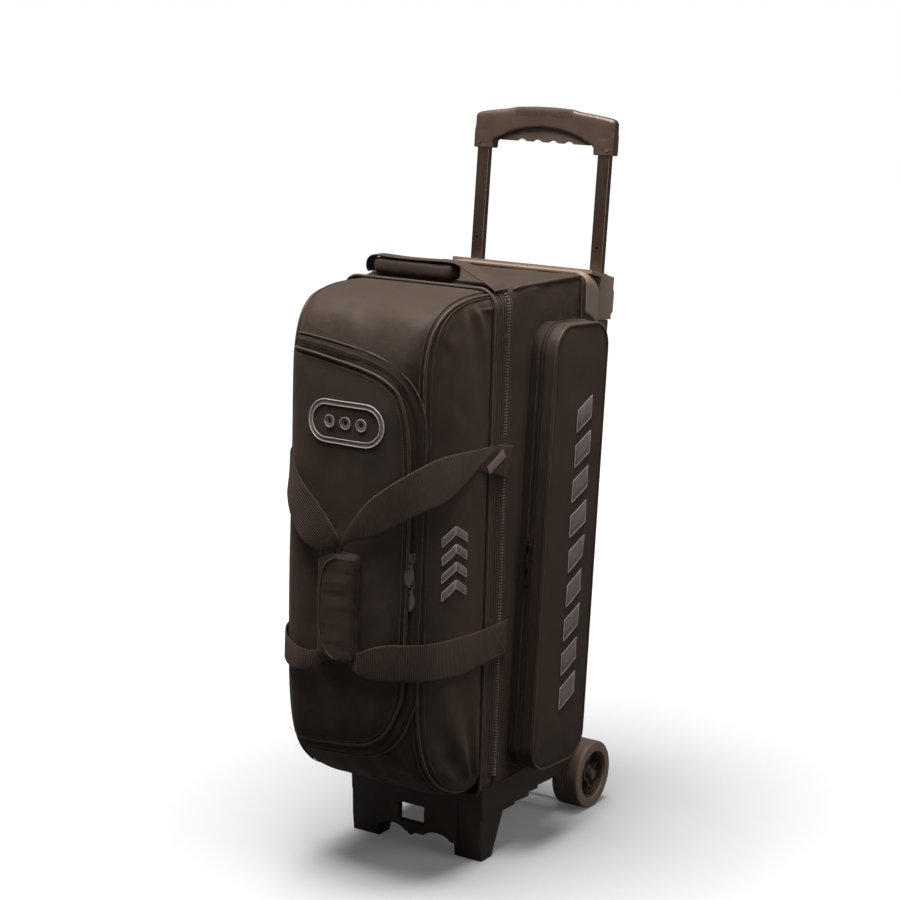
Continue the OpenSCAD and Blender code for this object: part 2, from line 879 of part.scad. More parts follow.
placed() ball_dividers();
placed() door_shell();
placed() door_back();
placed() door_gusset();
placed() shoe_flap();
placed() main_zip_door();
placed() main_zip_body();
placed() main_slider();
placed() main_pull();
placed() shoe_zip_tape();
placed() shoe_slider(shoe_upper_z);  // shoe_slider_upper
placed() shoe_slider(shoe_lower_z);  // shoe_slider_lower
placed() shoe_pull(shoe_upper_z, 9);  // shoe_pull_upper
placed() shoe_pull(shoe_lower_z, 0);  // shoe_pull_lower
placed() pocket_base();
placed() pocket_lid();
placed() pocket_slider(pocket_upper_z);  // pocket_slider_upper
placed() pocket_slider(pocket_lower_z);  // pocket_slider_lower
placed() pocket_pull(pocket_upper_z, 8);  // pocket_pull_upper
placed() pocket_pull(pocket_lower_z, 0);  // pocket_pull_lower
placed() strap_right();
placed() strap_left();
placed() wrap_handle();
placed() top_handle_pad();
placed() top_handle_web();
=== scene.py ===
"""Looks of an upright rolling bowling bag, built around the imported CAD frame.

Shapes are worked out in millimetres in the bag's own frame: X = 0 is its middle plane, Y = 0 the
piped seam where the front door's box meets its gusset, -Y the front, Z = 0 the floor.
place() turns them into metres in the frame of the CAD part.
"""

import json
import math

import bmesh
import bpy
import numpy as np
from mathutils import Matrix, Vector, noise
from mathutils.bvhtree import BVHTree

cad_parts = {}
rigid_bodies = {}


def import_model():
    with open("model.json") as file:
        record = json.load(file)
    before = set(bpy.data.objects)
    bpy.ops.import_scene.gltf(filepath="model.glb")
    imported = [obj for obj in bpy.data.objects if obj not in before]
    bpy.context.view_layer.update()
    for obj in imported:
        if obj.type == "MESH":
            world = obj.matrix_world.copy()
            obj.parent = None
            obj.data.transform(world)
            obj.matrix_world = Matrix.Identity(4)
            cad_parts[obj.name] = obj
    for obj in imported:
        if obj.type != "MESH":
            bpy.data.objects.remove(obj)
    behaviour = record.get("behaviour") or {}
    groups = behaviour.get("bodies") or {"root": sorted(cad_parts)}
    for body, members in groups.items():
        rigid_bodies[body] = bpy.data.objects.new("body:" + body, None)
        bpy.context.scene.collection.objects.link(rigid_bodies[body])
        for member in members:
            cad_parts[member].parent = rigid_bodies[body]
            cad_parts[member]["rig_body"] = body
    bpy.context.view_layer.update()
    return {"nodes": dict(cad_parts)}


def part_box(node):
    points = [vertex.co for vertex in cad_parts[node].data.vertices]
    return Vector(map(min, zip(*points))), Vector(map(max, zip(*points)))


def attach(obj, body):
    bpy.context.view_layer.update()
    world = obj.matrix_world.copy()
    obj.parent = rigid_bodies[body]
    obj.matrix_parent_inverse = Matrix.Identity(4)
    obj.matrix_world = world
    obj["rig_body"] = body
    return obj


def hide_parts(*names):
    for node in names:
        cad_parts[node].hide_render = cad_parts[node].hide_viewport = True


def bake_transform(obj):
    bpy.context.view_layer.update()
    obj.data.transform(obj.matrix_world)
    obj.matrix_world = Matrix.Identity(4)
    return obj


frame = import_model()

MM = 0.001
DOOR_LOW, DOOR_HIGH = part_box("door_shell")
ORIGIN = np.array([(DOOR_LOW.x + DOOR_HIGH.x) / 2, DOOR_HIGH.y, 0.0])


def in_bag_frame(corner):
    """From metres in the CAD part's frame to millimetres in the bag's."""
    return (np.array(corner) - ORIGIN) / MM


def cad_box(node):
    low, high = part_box(node)
    return in_bag_frame(low), in_bag_frame(high)


HALF_W = (DOOR_HIGH.x - DOOR_LOW.x) / 2 / MM
BODY_Z = DOOR_LOW.z / MM
BODY_TOP = DOOR_HIGH.z / MM
DOOR_D = -in_bag_frame(DOOR_LOW)[1]
BODY_Y = cad_box("side_panel_right")[0][1]
BODY_D = cad_box("side_panel_right")[1][1]
GUSSET_D = cad_box("door_gusset")[1][1]
LEAN = math.radians(4)
POCKET_LEAN = math.radians(3)
POCKET_W, POCKET_H, POCKET_R = 143.0, 623.0, 38.0
POCKET_Y, POCKET_Z = 154.0, 435.5
POCKET_SPLIT = cad_box("pocket_lid")[0][0]

# radii of the round cords
DOOR_CORD, SEAM_CORD, EDGE_CORD, FLAP_CORD, WELT = 2.1, 2.4, 2.5, 2.3, 0.7
# length, width and height of a tooth or a stitch, and how far apart they sit
MAIN_TOOTH, MAIN_PITCH = (2.2, 3.4, 2.2), 4.2
SHOE_TOOTH, SHOE_PITCH = (1.5, 2.6, 1.6), 2.6
POCKET_TOOTH, POCKET_PITCH = (1.6, 2.0, 1.5), 3.4
STITCH, ZIP_STITCH, WRAP_STITCH = (2.6, 0.8, 0.4), (2.6, 0.9, 0.7), (2.4, 0.8, 0.4)
STITCH_PITCH = 4.0
# thicknesses of the cloth
SHELL_T, GUSSET_T, BODY_T, BINDING_T, TAPE_T = 3.0, 4.0, 5.0, 2.0, 1.0
# radius of the body's lower edges
FOOT_R = 12.0


# ---------------------------------------------------------------- materials

def scaled(color, factor):
    return tuple(min(1.0, c * factor) for c in color)


class Shader:
    """Short calls for building one procedural material."""

    def __init__(self, name, color, roughness, **inputs):
        self.material = bpy.data.materials.new(name)
        self.material.use_nodes = True
        self.material.diffuse_color = (*color, 1)
        self.tree = self.material.node_tree
        self.surface = self.tree.nodes["Principled BSDF"]
        self.set(self.surface, "Base Color", (*color, 1))
        self.set(self.surface, "Roughness", roughness)
        for key, value in inputs.items():
            self.set(self.surface, key.replace("_", " "), value)
        self.coords = self.tree.nodes.new("ShaderNodeTexCoord")
        self.height = None

    def set(self, node, key, value):
        if isinstance(value, bpy.types.NodeSocket):
            self.tree.links.new(value, node.inputs[key])
        else:
            node.inputs[key].default_value = value

    def node(self, kind, **inputs):
        made = self.tree.nodes.new(kind)
        for key, value in inputs.items():
            self.set(made, key.replace("_", " "), value)
        return made

    def math(self, operation, a, b=0.0, c=0.0):
        made = self.tree.nodes.new("ShaderNodeMath")
        made.operation = operation
        for index, value in enumerate((a, b, c)):
            self.set(made, index, value)
        return made.outputs[0]

    def wave(self, value, pitch):
        """A sine of this value that repeats every pitch."""
        return self.math("SINE", self.math("MULTIPLY", value, 2 * math.pi / pitch))

    def noise(self, scale, detail=3.0, vector=None, stretch=None):
        source = vector or self.coords.outputs["Object"]
        if stretch:
            mapping = self.node("ShaderNodeMapping", Vector=source, Scale=stretch)
            source = mapping.outputs[0]
        return self.node("ShaderNodeTexNoise", Vector=source, Scale=scale, Detail=detail).outputs["Fac"]

    def ramp(self, value, low, high, to_low=0.0, to_high=1.0):
        made = self.node("ShaderNodeMapRange", Value=value)
        for key, number in (("From Min", low), ("From Max", high), ("To Min", to_low), ("To Max", to_high)):
            self.set(made, key, number)
        return made.outputs[0]

    def mix(self, fac, a, b):
        made = self.tree.nodes.new("ShaderNodeMix")
        made.data_type = "RGBA"
        self.set(made, 0, fac)
        self.set(made, 6, a if isinstance(a, bpy.types.NodeSocket) else (*a, 1))
        self.set(made, 7, b if isinstance(b, bpy.types.NodeSocket) else (*b, 1))
        return made.outputs[2]

    def axes(self):
        """Object coordinates in metres and how squarely the surface faces each axis."""
        place = self.node("ShaderNodeSeparateXYZ", Vector=self.coords.outputs["Object"]).outputs
        facing = self.node("ShaderNodeSeparateXYZ", Vector=self.coords.outputs["Normal"]).outputs
        return place, [self.math("POWER", self.math("ABSOLUTE", facing[i]), 6.0) for i in range(3)]

    def weave(self, pitch):
        """Two sets of threads over and under each other, on whichever plane the surface faces."""
        place, facing = self.axes()
        waves = [self.wave(place[i], pitch) for i in range(3)]
        total = None
        for axis in range(3):
            first, second = waves[(axis + 1) % 3], waves[(axis + 2) % 3]
            cross = self.math("MULTIPLY", self.math("MULTIPLY", first, second), facing[axis])
            total = cross if total is None else self.math("ADD", total, cross)
        return total

    def paint(self, value):
        self.set(self.surface, "Base Color", value)

    def bump(self, height, depth, strength=1.0):
        made = self.node("ShaderNodeBump", Height=height, Distance=depth, Strength=strength)
        if self.height is not None:
            self.set(made, "Normal", self.height)
        self.height = made.outputs[0]
        self.set(self.surface, "Normal", self.height)
        return self


def woven(name, color, pitch, depth, roughness=0.66, sheen=0.16, worn=0.35):
    """Woven cloth: threads, cloudy colour, and a dusty sheen where it is rubbed."""
    s = Shader(name, color, roughness, Sheen_Weight=sheen, Sheen_Roughness=0.45, Specular_IOR_Level=0.28)
    s.set(s.surface, "Sheen Tint", (0.74, 0.55, 0.43, 1))
    threads = s.weave(pitch)
    cloud = s.noise(9.0, 4.0)
    fine = s.noise(420.0, 2.0)
    pale = scaled(color, 1.6 + worn)
    dark = scaled(color, 0.72)
    base = s.mix(s.ramp(cloud, 0.35, 0.7), dark, color)
    base = s.mix(s.ramp(threads, 0.0, 1.0, 0.0, 0.4), base, pale)
    base = s.mix(s.ramp(fine, 0.5, 0.8, 0.0, 0.3), base, pale)
    s.paint(base)
    s.set(s.surface, "Roughness", s.ramp(cloud, 0.3, 0.7, roughness - 0.07, roughness + 0.07))
    s.bump(s.noise(16.0, 5.0), 0.006, 0.55)
    s.bump(s.noise(80.0, 3.0), 0.001, 0.4)
    s.bump(threads, depth, 0.7)
    return s.material


def ribbed(name, color, rib, thread):
    """Webbing: ribs across the band and threads along it, laid out by its own length and width."""
    s = Shader(name, color, 0.58, Sheen_Weight=0.15, Sheen_Roughness=0.4, Specular_IOR_Level=0.35)
    s.set(s.surface, "Sheen Tint", (0.8, 0.6, 0.48, 1))
    across = s.node("ShaderNodeSeparateXYZ", Vector=s.coords.outputs["UV"]).outputs
    ribs = s.wave(across[0], rib)
    threads = s.wave(across[1], thread)
    weave = s.math("MULTIPLY_ADD", s.math("MULTIPLY", ribs, threads), 0.35, ribs)
    cloud = s.noise(14.0, 3.0)
    pale = scaled(color, 1.9)
    dark = scaled(color, 0.6)
    base = s.mix(s.ramp(cloud, 0.3, 0.7), scaled(color, 0.85), color)
    base = s.mix(s.ramp(weave, -1.0, -0.2, 0.75, 0.0), base, dark)
    s.paint(s.mix(s.ramp(weave, 0.3, 1.2, 0.0, 0.45), base, pale))
    s.bump(weave, 0.0006, 0.8)
    return s.material


def moulded(name, color, roughness, grain, depth, pale=1.7):
    """Moulded plastic or rubber with a fine texture, handling marks and rubbed high spots."""
    s = Shader(name, color, roughness, Specular_IOR_Level=0.45)
    fine = s.noise(grain, 2.0)
    cloud = s.noise(24.0, 5.0)
    base = s.mix(s.ramp(cloud, 0.4, 0.75, 0.0, 0.6), color, scaled(color, pale))
    s.paint(s.mix(s.ramp(fine, 0.3, 0.7, 0.0, 0.35), base, scaled(color, 0.7)))
    s.set(s.surface, "Roughness", s.ramp(cloud, 0.3, 0.75, roughness - 0.1, roughness + 0.12))
    s.bump(fine, depth, 0.6)
    return s.material


def metal(name, color, roughness, stretch):
    """Drawn or plated metal with lines along its length."""
    s = Shader(name, color, roughness, Metallic=1.0)
    lines = s.noise(60.0, 3.0, stretch=stretch)
    cloud = s.noise(18.0, 4.0)
    s.paint(s.mix(s.ramp(lines, 0.3, 0.7), scaled(color, 0.75), color))
    s.set(s.surface, "Roughness", s.ramp(cloud, 0.3, 0.7, roughness - 0.06, roughness + 0.1))
    s.bump(lines, 0.0002, 0.3)
    return s.material


def ridged(name, color, roughness, pitch, depth):
    """Soft plastic with fine ridges across its length."""
    s = Shader(name, color, roughness, Specular_IOR_Level=0.4)
    place = s.axes()[0]
    ridges = s.wave(place[0], pitch)
    pale = scaled(color, 1.8)
    base = s.mix(s.ramp(s.noise(30.0, 4.0), 0.35, 0.7), scaled(color, 0.8), color)
    s.paint(s.mix(s.ramp(ridges, 0.0, 1.0, 0.0, 0.7), base, pale))
    s.bump(ridges, depth, 0.9)
    return s.material


def embroidered(name, color, pitch, roughness=0.45):
    """Satin stitch: close slanting threads with a silky sheen."""
    s = Shader(name, color, roughness, Sheen_Weight=0.4, Specular_IOR_Level=0.6)
    place = s.axes()[0]
    slant = s.math("ADD", place[2], s.math("MULTIPLY", s.math("ADD", place[0], place[1]), 0.6))
    threads = s.wave(slant, pitch)
    base = s.mix(s.ramp(threads, -1.0, 1.0, 0.0, 0.5), color, scaled(color, 0.6))
    s.paint(s.mix(s.noise(60.0), base, scaled(color, 1.2)))
    s.bump(threads, 0.0004, 0.7)
    return s.material


CLOTH = woven("cloth", (0.0245, 0.0150, 0.0100), 0.0013, 0.0004)
CLOTH_TOP = woven("cloth_rubbed", (0.032, 0.0205, 0.0145), 0.0013, 0.0004, worn=0.8)
PIPING = woven("piping_cloth", (0.036, 0.0235, 0.0175), 0.0016, 0.0003, roughness=0.5, sheen=0.3)
BINDING = woven("binding", (0.014, 0.0095, 0.0075), 0.0018, 0.0004, roughness=0.7, sheen=0.2)
LINING = woven("lining", (0.018, 0.016, 0.015), 0.0009, 0.0002, roughness=0.8, sheen=0.15)
ZIP_TAPE = woven("zip_tape", (0.018, 0.0118, 0.009), 0.0011, 0.0004, roughness=0.75, sheen=0.2)
WEBBING = ribbed("webbing", (0.036, 0.0225, 0.0155), 0.0028, 0.0016)
ZIP_TEETH = moulded("zip_teeth", (0.17, 0.145, 0.135), 0.28, 900, 0.0001, pale=2.2)
THREAD = moulded("thread", (0.085, 0.064, 0.054), 0.6, 1500, 0.0002)
TRAY = moulded("tray_plastic", (0.034, 0.0225, 0.0165), 0.5, 700, 0.0004)
# Painted highlight: the collar's colour is made much paler than the other black plastics, standing in for the
# light its smooth surface reflects.
COLLAR_PAINTED_HIGHLIGHT = moulded("collar_plastic_painted_highlight", (0.205, 0.156, 0.129), 0.42, 800, 0.0003, pale=1.15)
GRIP = moulded("grip_plastic", (0.060, 0.040, 0.031), 0.38, 900, 0.0002, pale=1.4)
SOFT_GRIP = ridged("soft_grip", (0.060, 0.042, 0.033), 0.55, 0.0026, 0.0008)
COIL = moulded("zip_coil", (0.045, 0.034, 0.028), 0.35, 900, 0.0001, pale=1.8)
# Painted light: the tyre and hub colours are lifted well above black rubber and plastic to make up for the
# shade the bag casts on the wheels.
TYRE_PAINTED_LIGHT = moulded("tyre_rubber_painted_light", (0.185, 0.132, 0.106), 0.48, 600, 0.0003, pale=1.45)
HUB_PAINTED_LIGHT = moulded("hub_plastic", (0.085, 0.062, 0.050), 0.42, 700, 0.0002)
NYLON = moulded("nylon", (0.5, 0.48, 0.42), 0.45, 500, 0.0002, pale=1.1)
TUBE = metal("tube_metal", (0.19, 0.135, 0.108), 0.36, (6.0, 6.0, 0.15))
STEEL = metal("steel", (0.46, 0.43, 0.40), 0.3, (1.0, 1.0, 1.0))
ZIP_METAL = metal("zip_metal", (0.30, 0.245, 0.215), 0.3, (1.0, 1.0, 1.0))
SILVER = embroidered("silver_thread", (0.50, 0.46, 0.47), 0.0011)
MAUVE = embroidered("mauve_thread", (0.105, 0.075, 0.078), 0.0013, 0.6)
LABEL = embroidered("label_thread", (0.17, 0.085, 0.075), 0.0009, 0.6)


# ---------------------------------------------------------------- shape helpers

def place(points):
    """From millimetres in the bag's frame to metres in the CAD part's."""
    return np.asarray(points, float) * MM + ORIGIN


def link(name, data):
    """A new object in the scene."""
    obj = bpy.data.objects.new(name, data)
    bpy.context.scene.collection.objects.link(obj)
    return obj


def read(items, key, width=3, kind=np.float32):
    """One attribute of a mesh's vertices, edges or loops, a row for each."""
    values = np.zeros(len(items) * width, kind)
    items.foreach_get(key, values)
    return values.reshape(-1, width)


def write(mesh, points):
    """Puts a mesh's vertices at these points in metres."""
    mesh.vertices.foreach_set("co", points.astype(np.float32).ravel())
    mesh.update()


def make_object(name, points, faces, *materials, uv=None, smooth=True):
    """A mesh object from millimetre points in the bag's frame."""
    mesh = bpy.data.meshes.new(name)
    mesh.from_pydata([tuple(p) for p in place(points)], [], faces)
    mesh.validate()
    for material in materials:
        mesh.materials.append(material)
    if smooth:
        mesh.polygons.foreach_set("use_smooth", [True] * len(mesh.polygons))
    if uv is not None:
        layer = mesh.uv_layers.new(name="UVMap")
        corner = read(mesh.loops, "vertex_index", 1, int)[:, 0]
        layer.data.foreach_set("uv", (np.asarray(uv) * MM)[corner].ravel())
    return link(name, mesh)


def grid_faces(rows, columns, wrap_rows=False, wrap_columns=False, flip=False):
    """Four-cornered faces over a grid of points, which may close on itself either way."""
    i = np.arange(rows if wrap_rows else rows - 1)[:, None]
    j = np.arange(columns if wrap_columns else columns - 1)[None]
    below, after = (i + 1) % rows * columns, (j + 1) % columns
    corners = [i * columns + j, below + j, below + after, i * columns + after]
    if flip:
        corners = [corners[k] for k in (0, 3, 2, 1)]
    return [tuple(face) for face in np.stack(corners, -1).reshape(-1, 4).tolist()]


def sheet(name, grid, *materials, wrap_rows=False, wrap_columns=False, flip=False):
    rows, columns = grid.shape[:2]
    faces = grid_faces(rows, columns, wrap_rows, wrap_columns, flip)
    return make_object(name, grid.reshape(-1, 3), faces, *materials)


def weld(obj, distance=0.0002):
    bm = bmesh.new()
    bm.from_mesh(obj.data)
    bmesh.ops.remove_doubles(bm, verts=bm.verts, dist=distance)
    bmesh.ops.dissolve_degenerate(bm, edges=bm.edges, dist=distance / 4)
    bm.to_mesh(obj.data)
    bm.free()
    return obj


def thicken(obj, thickness, inner=None, smooth=False):
    """Gives a sheet its cloth thickness; inner is the material of its inside."""
    solid = obj.modifiers.new("thickness", "SOLIDIFY")
    solid.thickness = thickness * MM
    solid.offset = -1.0
    if inner:
        obj.data.materials.append(inner)
        solid.material_offset = 1
    return soften(obj) if smooth else obj


def soften(obj):
    smooth = obj.modifiers.new("smooth", "SUBSURF")
    smooth.levels = smooth.render_levels = 1
    return obj


def lengths_along(path):
    return np.r_[0, np.cumsum(np.linalg.norm(np.diff(path, axis=0), axis=1))]


def unit(vectors):
    return vectors / (np.linalg.norm(vectors, axis=-1)[..., None] + 1e-9)


def even(path, count):
    """A path's own line with this many points at even steps."""
    lengths = lengths_along(path)
    stops = np.linspace(0, lengths[-1], count)
    return np.stack([np.interp(stops, lengths, path[:, i]) for i in range(path.shape[1])], -1)


def resample(points, step, closed=False):
    """A path's own line with points about a step apart."""
    points = np.asarray(points, float)
    if closed:
        points = np.vstack([points, points[:1]])
    made = even(points, max(2, int(round(lengths_along(points)[-1] / step)) + 1))
    return made[:-1] if closed else made


def spline(points, step):
    """A smooth curve through the points, sampled at even steps."""
    points = np.asarray(points, float)
    last = len(points) - 1
    out = []
    for i in range(last):
        a, b, c, d = (points[min(max(i + k, 0), last)] for k in (-1, 0, 1, 2))
        for t in np.linspace(0, 1, 12, endpoint=False):
            out.append(0.5 * (2 * b + (c - a) * t + (2 * a - 5 * b + 4 * c - d) * t ** 2
                              + (3 * b - a - 3 * c + d) * t ** 3))
    return resample(out + [points[-1]], step)


def cord(name, path, radius, body, material=PIPING, slot="fabric", closed=False, sides=8):
    """A round cord along a path, drawn in at its ends."""
    path = np.asarray(path, float)
    count = len(path)
    ahead = unit(np.roll(path, -1, 0) - np.roll(path, 1, 0) if closed else np.gradient(path, axis=0))
    side = np.zeros_like(path)
    start = np.array([0.0, 0.0, 1.0]) if abs(ahead[0][2]) < 0.9 else np.array([1.0, 0.0, 0.0])
    side[0] = np.cross(ahead[0], start)
    for i in range(1, count):
        side[i] = side[i - 1] - ahead[i] * (side[i - 1] @ ahead[i])
    side /= np.linalg.norm(side, axis=1)[:, None]
    other = np.cross(ahead, side)
    turns = np.linspace(0, 2 * math.pi, sides, endpoint=False)
    radii = np.full(count, float(radius))
    if not closed:
        radii[0] = radii[-1] = radius * 0.35
    rings = path[:, None] + radii[:, None, None] * (
        np.cos(turns)[None, :, None] * side[:, None] + np.sin(turns)[None, :, None] * other[:, None])
    faces = grid_faces(count, sides, closed, True, flip=True)
    if not closed:
        faces += [tuple(reversed(range(sides))), tuple(range((count - 1) * sides, count * sides))]
    return finish_piece(make_object(name, rings.reshape(-1, 3), faces, material), body, slot)


def beads(name, path, normals, size, pitch, material, body, slot="zipper"):
    """Small tapered blocks along a path, such as zipper teeth or stitches: size is along, across, proud."""
    joined = resample(np.hstack([path, normals]), pitch)
    path, normals = joined[:, :3], unit(joined[:, 3:])
    ahead = unit(np.gradient(path, axis=0))
    across = np.cross(normals, ahead)
    points, faces = [], []
    shape = [(-0.5, -0.5, 0), (0.5, -0.5, 0), (0.5, 0.5, 0), (-0.5, 0.5, 0),
             (-0.32, -0.32, 1), (0.32, -0.32, 1), (0.32, 0.32, 1), (-0.32, 0.32, 1)]
    sides = [(0, 3, 2, 1), (4, 5, 6, 7), (0, 1, 5, 4), (1, 2, 6, 5), (2, 3, 7, 6), (3, 0, 4, 7)]
    for i in range(len(path)):
        base = len(points)
        for a, b, c in shape:
            points.append(path[i] + ahead[i] * a * size[0] + across[i] * b * size[1]
                          + normals[i] * c * size[2])
        faces += [tuple(base + k for k in face) for face in sides]
    return finish_piece(make_object(name, points, faces, material, smooth=False), body, slot)


def ripple(points, size, seed=0.0):
    """Smooth uneven values between about -1 and 1 at millimetre points."""
    return np.array([noise.noise(Vector(p) / size + Vector((seed, seed * 0.7, seed * 1.3))) for p in points])


def grid_normals(grid):
    return unit(np.cross(np.gradient(grid, axis=0), np.gradient(grid, axis=1)))


def rumple(grid, amount, size, seed, edge_fade=None, outward=1.0, squeeze=(1.0, 1.0, 1.0)):
    """Moves a grid in and out by smooth noise. squeeze stretches the noise along an axis."""
    normals = grid_normals(grid) * outward
    flat = grid.reshape(-1, 3) * np.array(squeeze)
    values = (ripple(flat, size, seed) + 0.4 * ripple(flat, size / 2.7, seed + 5)).reshape(grid.shape[:2])
    fade = 1.0 if edge_fade is None else edge_fade
    return grid + normals * (values * amount * fade)[..., None]


def seam_fade(count, seams, width):
    """0 on each seam's index and 1 away from it."""
    index = np.arange(count)
    nearest = np.min([np.abs(index - s) for s in seams], axis=0)
    return 1 - np.exp(-(nearest / width) ** 2)


CLOTH_FEEL = {"quality": 4, "mass": 0.4, "tension_stiffness": 18, "compression_stiffness": 18,
              "shear_stiffness": 8, "bending_stiffness": 1.2}
CLOTH_FRAMES = 20
PRESSURE = 4.0


def puff(obj, pinned, cap):
    """Inflates padded cloth between its pinned seams, and limits how far a point moves (millimetres)."""
    start = read(obj.data.vertices, "co")
    group = obj.vertex_groups.new(name="seams")
    group.add([int(i) for i in pinned], 1.0, "REPLACE")
    cloth = obj.modifiers.new("cloth", "CLOTH")
    for key, value in {**CLOTH_FEEL, "vertex_group_mass": "seams", "use_pressure": True,
                       "uniform_pressure_force": PRESSURE}.items():
        setattr(cloth.settings, key, value)
    cloth.settings.effector_weights.gravity = 0
    cloth.collision_settings.use_collision = False
    cloth.point_cache.frame_start = 1
    cloth.point_cache.frame_end = CLOTH_FRAMES
    for number in range(1, CLOTH_FRAMES + 1):
        bpy.context.scene.frame_set(number)
    evaluated = obj.evaluated_get(bpy.context.evaluated_depsgraph_get())
    shift = np.nan_to_num(read(evaluated.data.vertices, "co") - start)
    obj.modifiers.remove(cloth)
    bpy.context.scene.frame_set(1)
    length = np.linalg.norm(shift, axis=1)[:, None] + 1e-12
    limit = cap * MM
    shift *= limit * np.tanh(length / limit) / length
    write(obj.data, start + shift)
    return obj


def finish_piece(obj, body, slot=None, *replaced):
    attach(obj, body)
    if replaced:
        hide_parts(*replaced)
    return obj


def finish_cloth(obj, thickness, body, *replaced):
    """Lined cloth: thickness, lining and softened folds."""
    return finish_piece(thicken(obj, thickness, LINING, True), body, "fabric", *replaced)


# ---------------------------------------------------------------- front door

SIDE_TURN = 0.72                                  # how far round the door's edge its side panel's piping runs
FRONT_R, TOP_R, LOW_R = 45.0, 20.0, 30.0
LEFT_SAG = 10.0                                   # the left shoulder is rounder than the right one
TAPER = [(0, 0), (-36, -0.5), (-70, -4), (-104, -15), (-129, -38), (-142, -70), (-146, -112)]
SAG = [(-146.5, 560), (-149, 430), (-148, 310), (-144, 244), (-134, 198), (-114, 161), (-84, 134), (-46, 118)]


def door_profile():
    """The door's outline in its middle plane, from the top seam over the front to the bottom seam."""
    scale = DOOR_D / 146
    upper = [(y * scale, BODY_TOP + dz) for y, dz in TAPER]
    lower = [(y * scale, z) for y, z in SAG]
    return spline(upper + lower + [(0, BODY_Z + 1)], 8.0)


PROFILE = door_profile()
PROFILE_T = np.gradient(PROFILE, axis=0)
PROFILE_T /= np.linalg.norm(PROFILE_T, axis=1)[:, None]
PROFILE_N = np.stack([PROFILE_T[:, 1], -PROFILE_T[:, 0]], -1)
PROFILE_S = lengths_along(PROFILE)


def along_front(z):
    """Distance along the profile at which the front is at height z."""
    falling = PROFILE[:, 1] < BODY_TOP - 12
    heights, stops = PROFILE[falling, 1], PROFILE_S[falling]
    return np.interp(-np.asarray(z, float), -heights, stops)


def edge_radius(s, left):
    n = np.stack([np.interp(s, PROFILE_S, PROFILE_N[:, i]) for i in (0, 1)], -1)
    cap = np.where(n[..., 1] > 0, TOP_R + np.where(left, LEFT_SAG, 0), LOW_R)
    return FRONT_R * n[..., 0] ** 2 + cap * n[..., 1] ** 2


def door_point(a, s, lift=0.0):
    """The point on the door at arc length a across it and s down its profile, lifted off the cloth."""
    a, s = np.broadcast_arrays(np.asarray(a, float), np.asarray(s, float))
    p = np.stack([np.interp(s, PROFILE_S, PROFILE[:, i]) for i in (0, 1)], -1)
    n = np.stack([np.interp(s, PROFILE_S, PROFILE_N[:, i]) for i in (0, 1)], -1)
    n /= np.linalg.norm(n, axis=-1)[..., None]
    r = edge_radius(s, a < 0)
    flat = HALF_W - r
    turn = np.clip((np.abs(a) - flat) / r, 0, math.pi / 2)
    x = np.where(turn > 0, flat + r * np.sin(turn), np.abs(a)) * np.sign(a)
    crown = 3.0 * np.clip(1 - (np.abs(a) / flat) ** 2, 0, 1) * np.abs(n[..., 0])
    depth = r * (1 - np.cos(turn)) - crown - lift * np.cos(turn)
    x = x + lift * np.sin(turn) * np.sign(a)
    return np.stack([x, p[..., 0] - n[..., 0] * depth, p[..., 1] - n[..., 1] * depth], -1)


def piping_arc(s, side):
    r = edge_radius(s, np.full(np.shape(s), side < 0))
    return side * (HALF_W - r + r * SIDE_TURN)


def door_grid():
    """The whole outside of the door: front band in the middle, a side panel at each end of a row."""
    band, turn, inner = 31, 5, 17
    rows = []
    heights = []
    for side in (-1, 1):
        edge = door_point(np.full(len(PROFILE_S), side * 400.0), PROFILE_S)
        share = (edge[:, 2] - edge[0, 2]) / (edge[-1, 2] - edge[0, 2])
        even = np.linspace(0, 1, len(PROFILE_S))
        heights.append(edge[0, 2] + (edge[-1, 2] - edge[0, 2]) * (0.7 * share + 0.3 * even))
    for i, s in enumerate(PROFILE_S):
        sides = []
        for k, side in enumerate((-1, 1)):
            r = float(edge_radius(s, side < 0))
            rounding = side * np.linspace(HALF_W - r + r * SIDE_TURN, HALF_W - r + r * math.pi / 2, turn)[1:]
            corner = door_point(rounding, np.full(turn - 1, s))
            back = np.array([side * HALF_W, 0.0, heights[k][i]])
            q = np.linspace(0, 1, inner)[1:, None]
            inside = corner[-1] * (1 - q) + back * q
            inside[:, 0] += side * 2.4 * np.sin(math.pi * q[:, 0]) ** 0.6
            sides.append(np.vstack([corner, inside]))
        across = np.linspace(float(piping_arc(s, -1)), float(piping_arc(s, 1)), band)
        middle = door_point(across, np.full(band, s))
        rows.append(np.vstack([sides[0][::-1], middle, sides[1]]))
    grid = np.array(rows)
    left = turn - 1 + inner - 1
    return grid, left, left + band - 1


def fan(across, up, cross_at, up_at, reach, waves):
    """Folds that spread from a pulled point, fading with distance."""
    away = np.hypot(across - cross_at, up - up_at) + 1e-6
    angle = np.arctan2(up - up_at, across - cross_at)
    return np.sin(angle * waves) * np.exp(-(away / reach) ** 2) * np.clip(away / 40, 0, 1)


def creased(grid, fade):
    """Soft folds from the lower corners and the shoulders of the door.

    Each line is a fold's depth, where it starts, how far it reaches and how many there are in a turn."""
    x, y, z = grid[:, :, 0], grid[:, :, 1], grid[:, :, 2]
    depth = np.zeros(grid.shape[:2])
    on_front = np.clip((-y - 95) / 35, 0, 1)
    for side in (-1, 1):
        on_side = np.clip((side * x - 60) / 50, 0, 1)
        depth += on_side * 4.6 * fan(y, z, -12, 112, 190, 12.0 + side)
        depth += on_side * 2.6 * fan(y, z, -60, 815, 150, 10.0)
        depth += on_side * 1.4 * np.sin(y / 8.5 + z / 90) * np.clip((300 - z) / 120, 0, 1)
        depth += on_front * 3.2 * fan(side * x, z, 112, 150, 130, 9.0 + side)
    return grid + grid_normals(grid) * (depth * fade)[..., None]


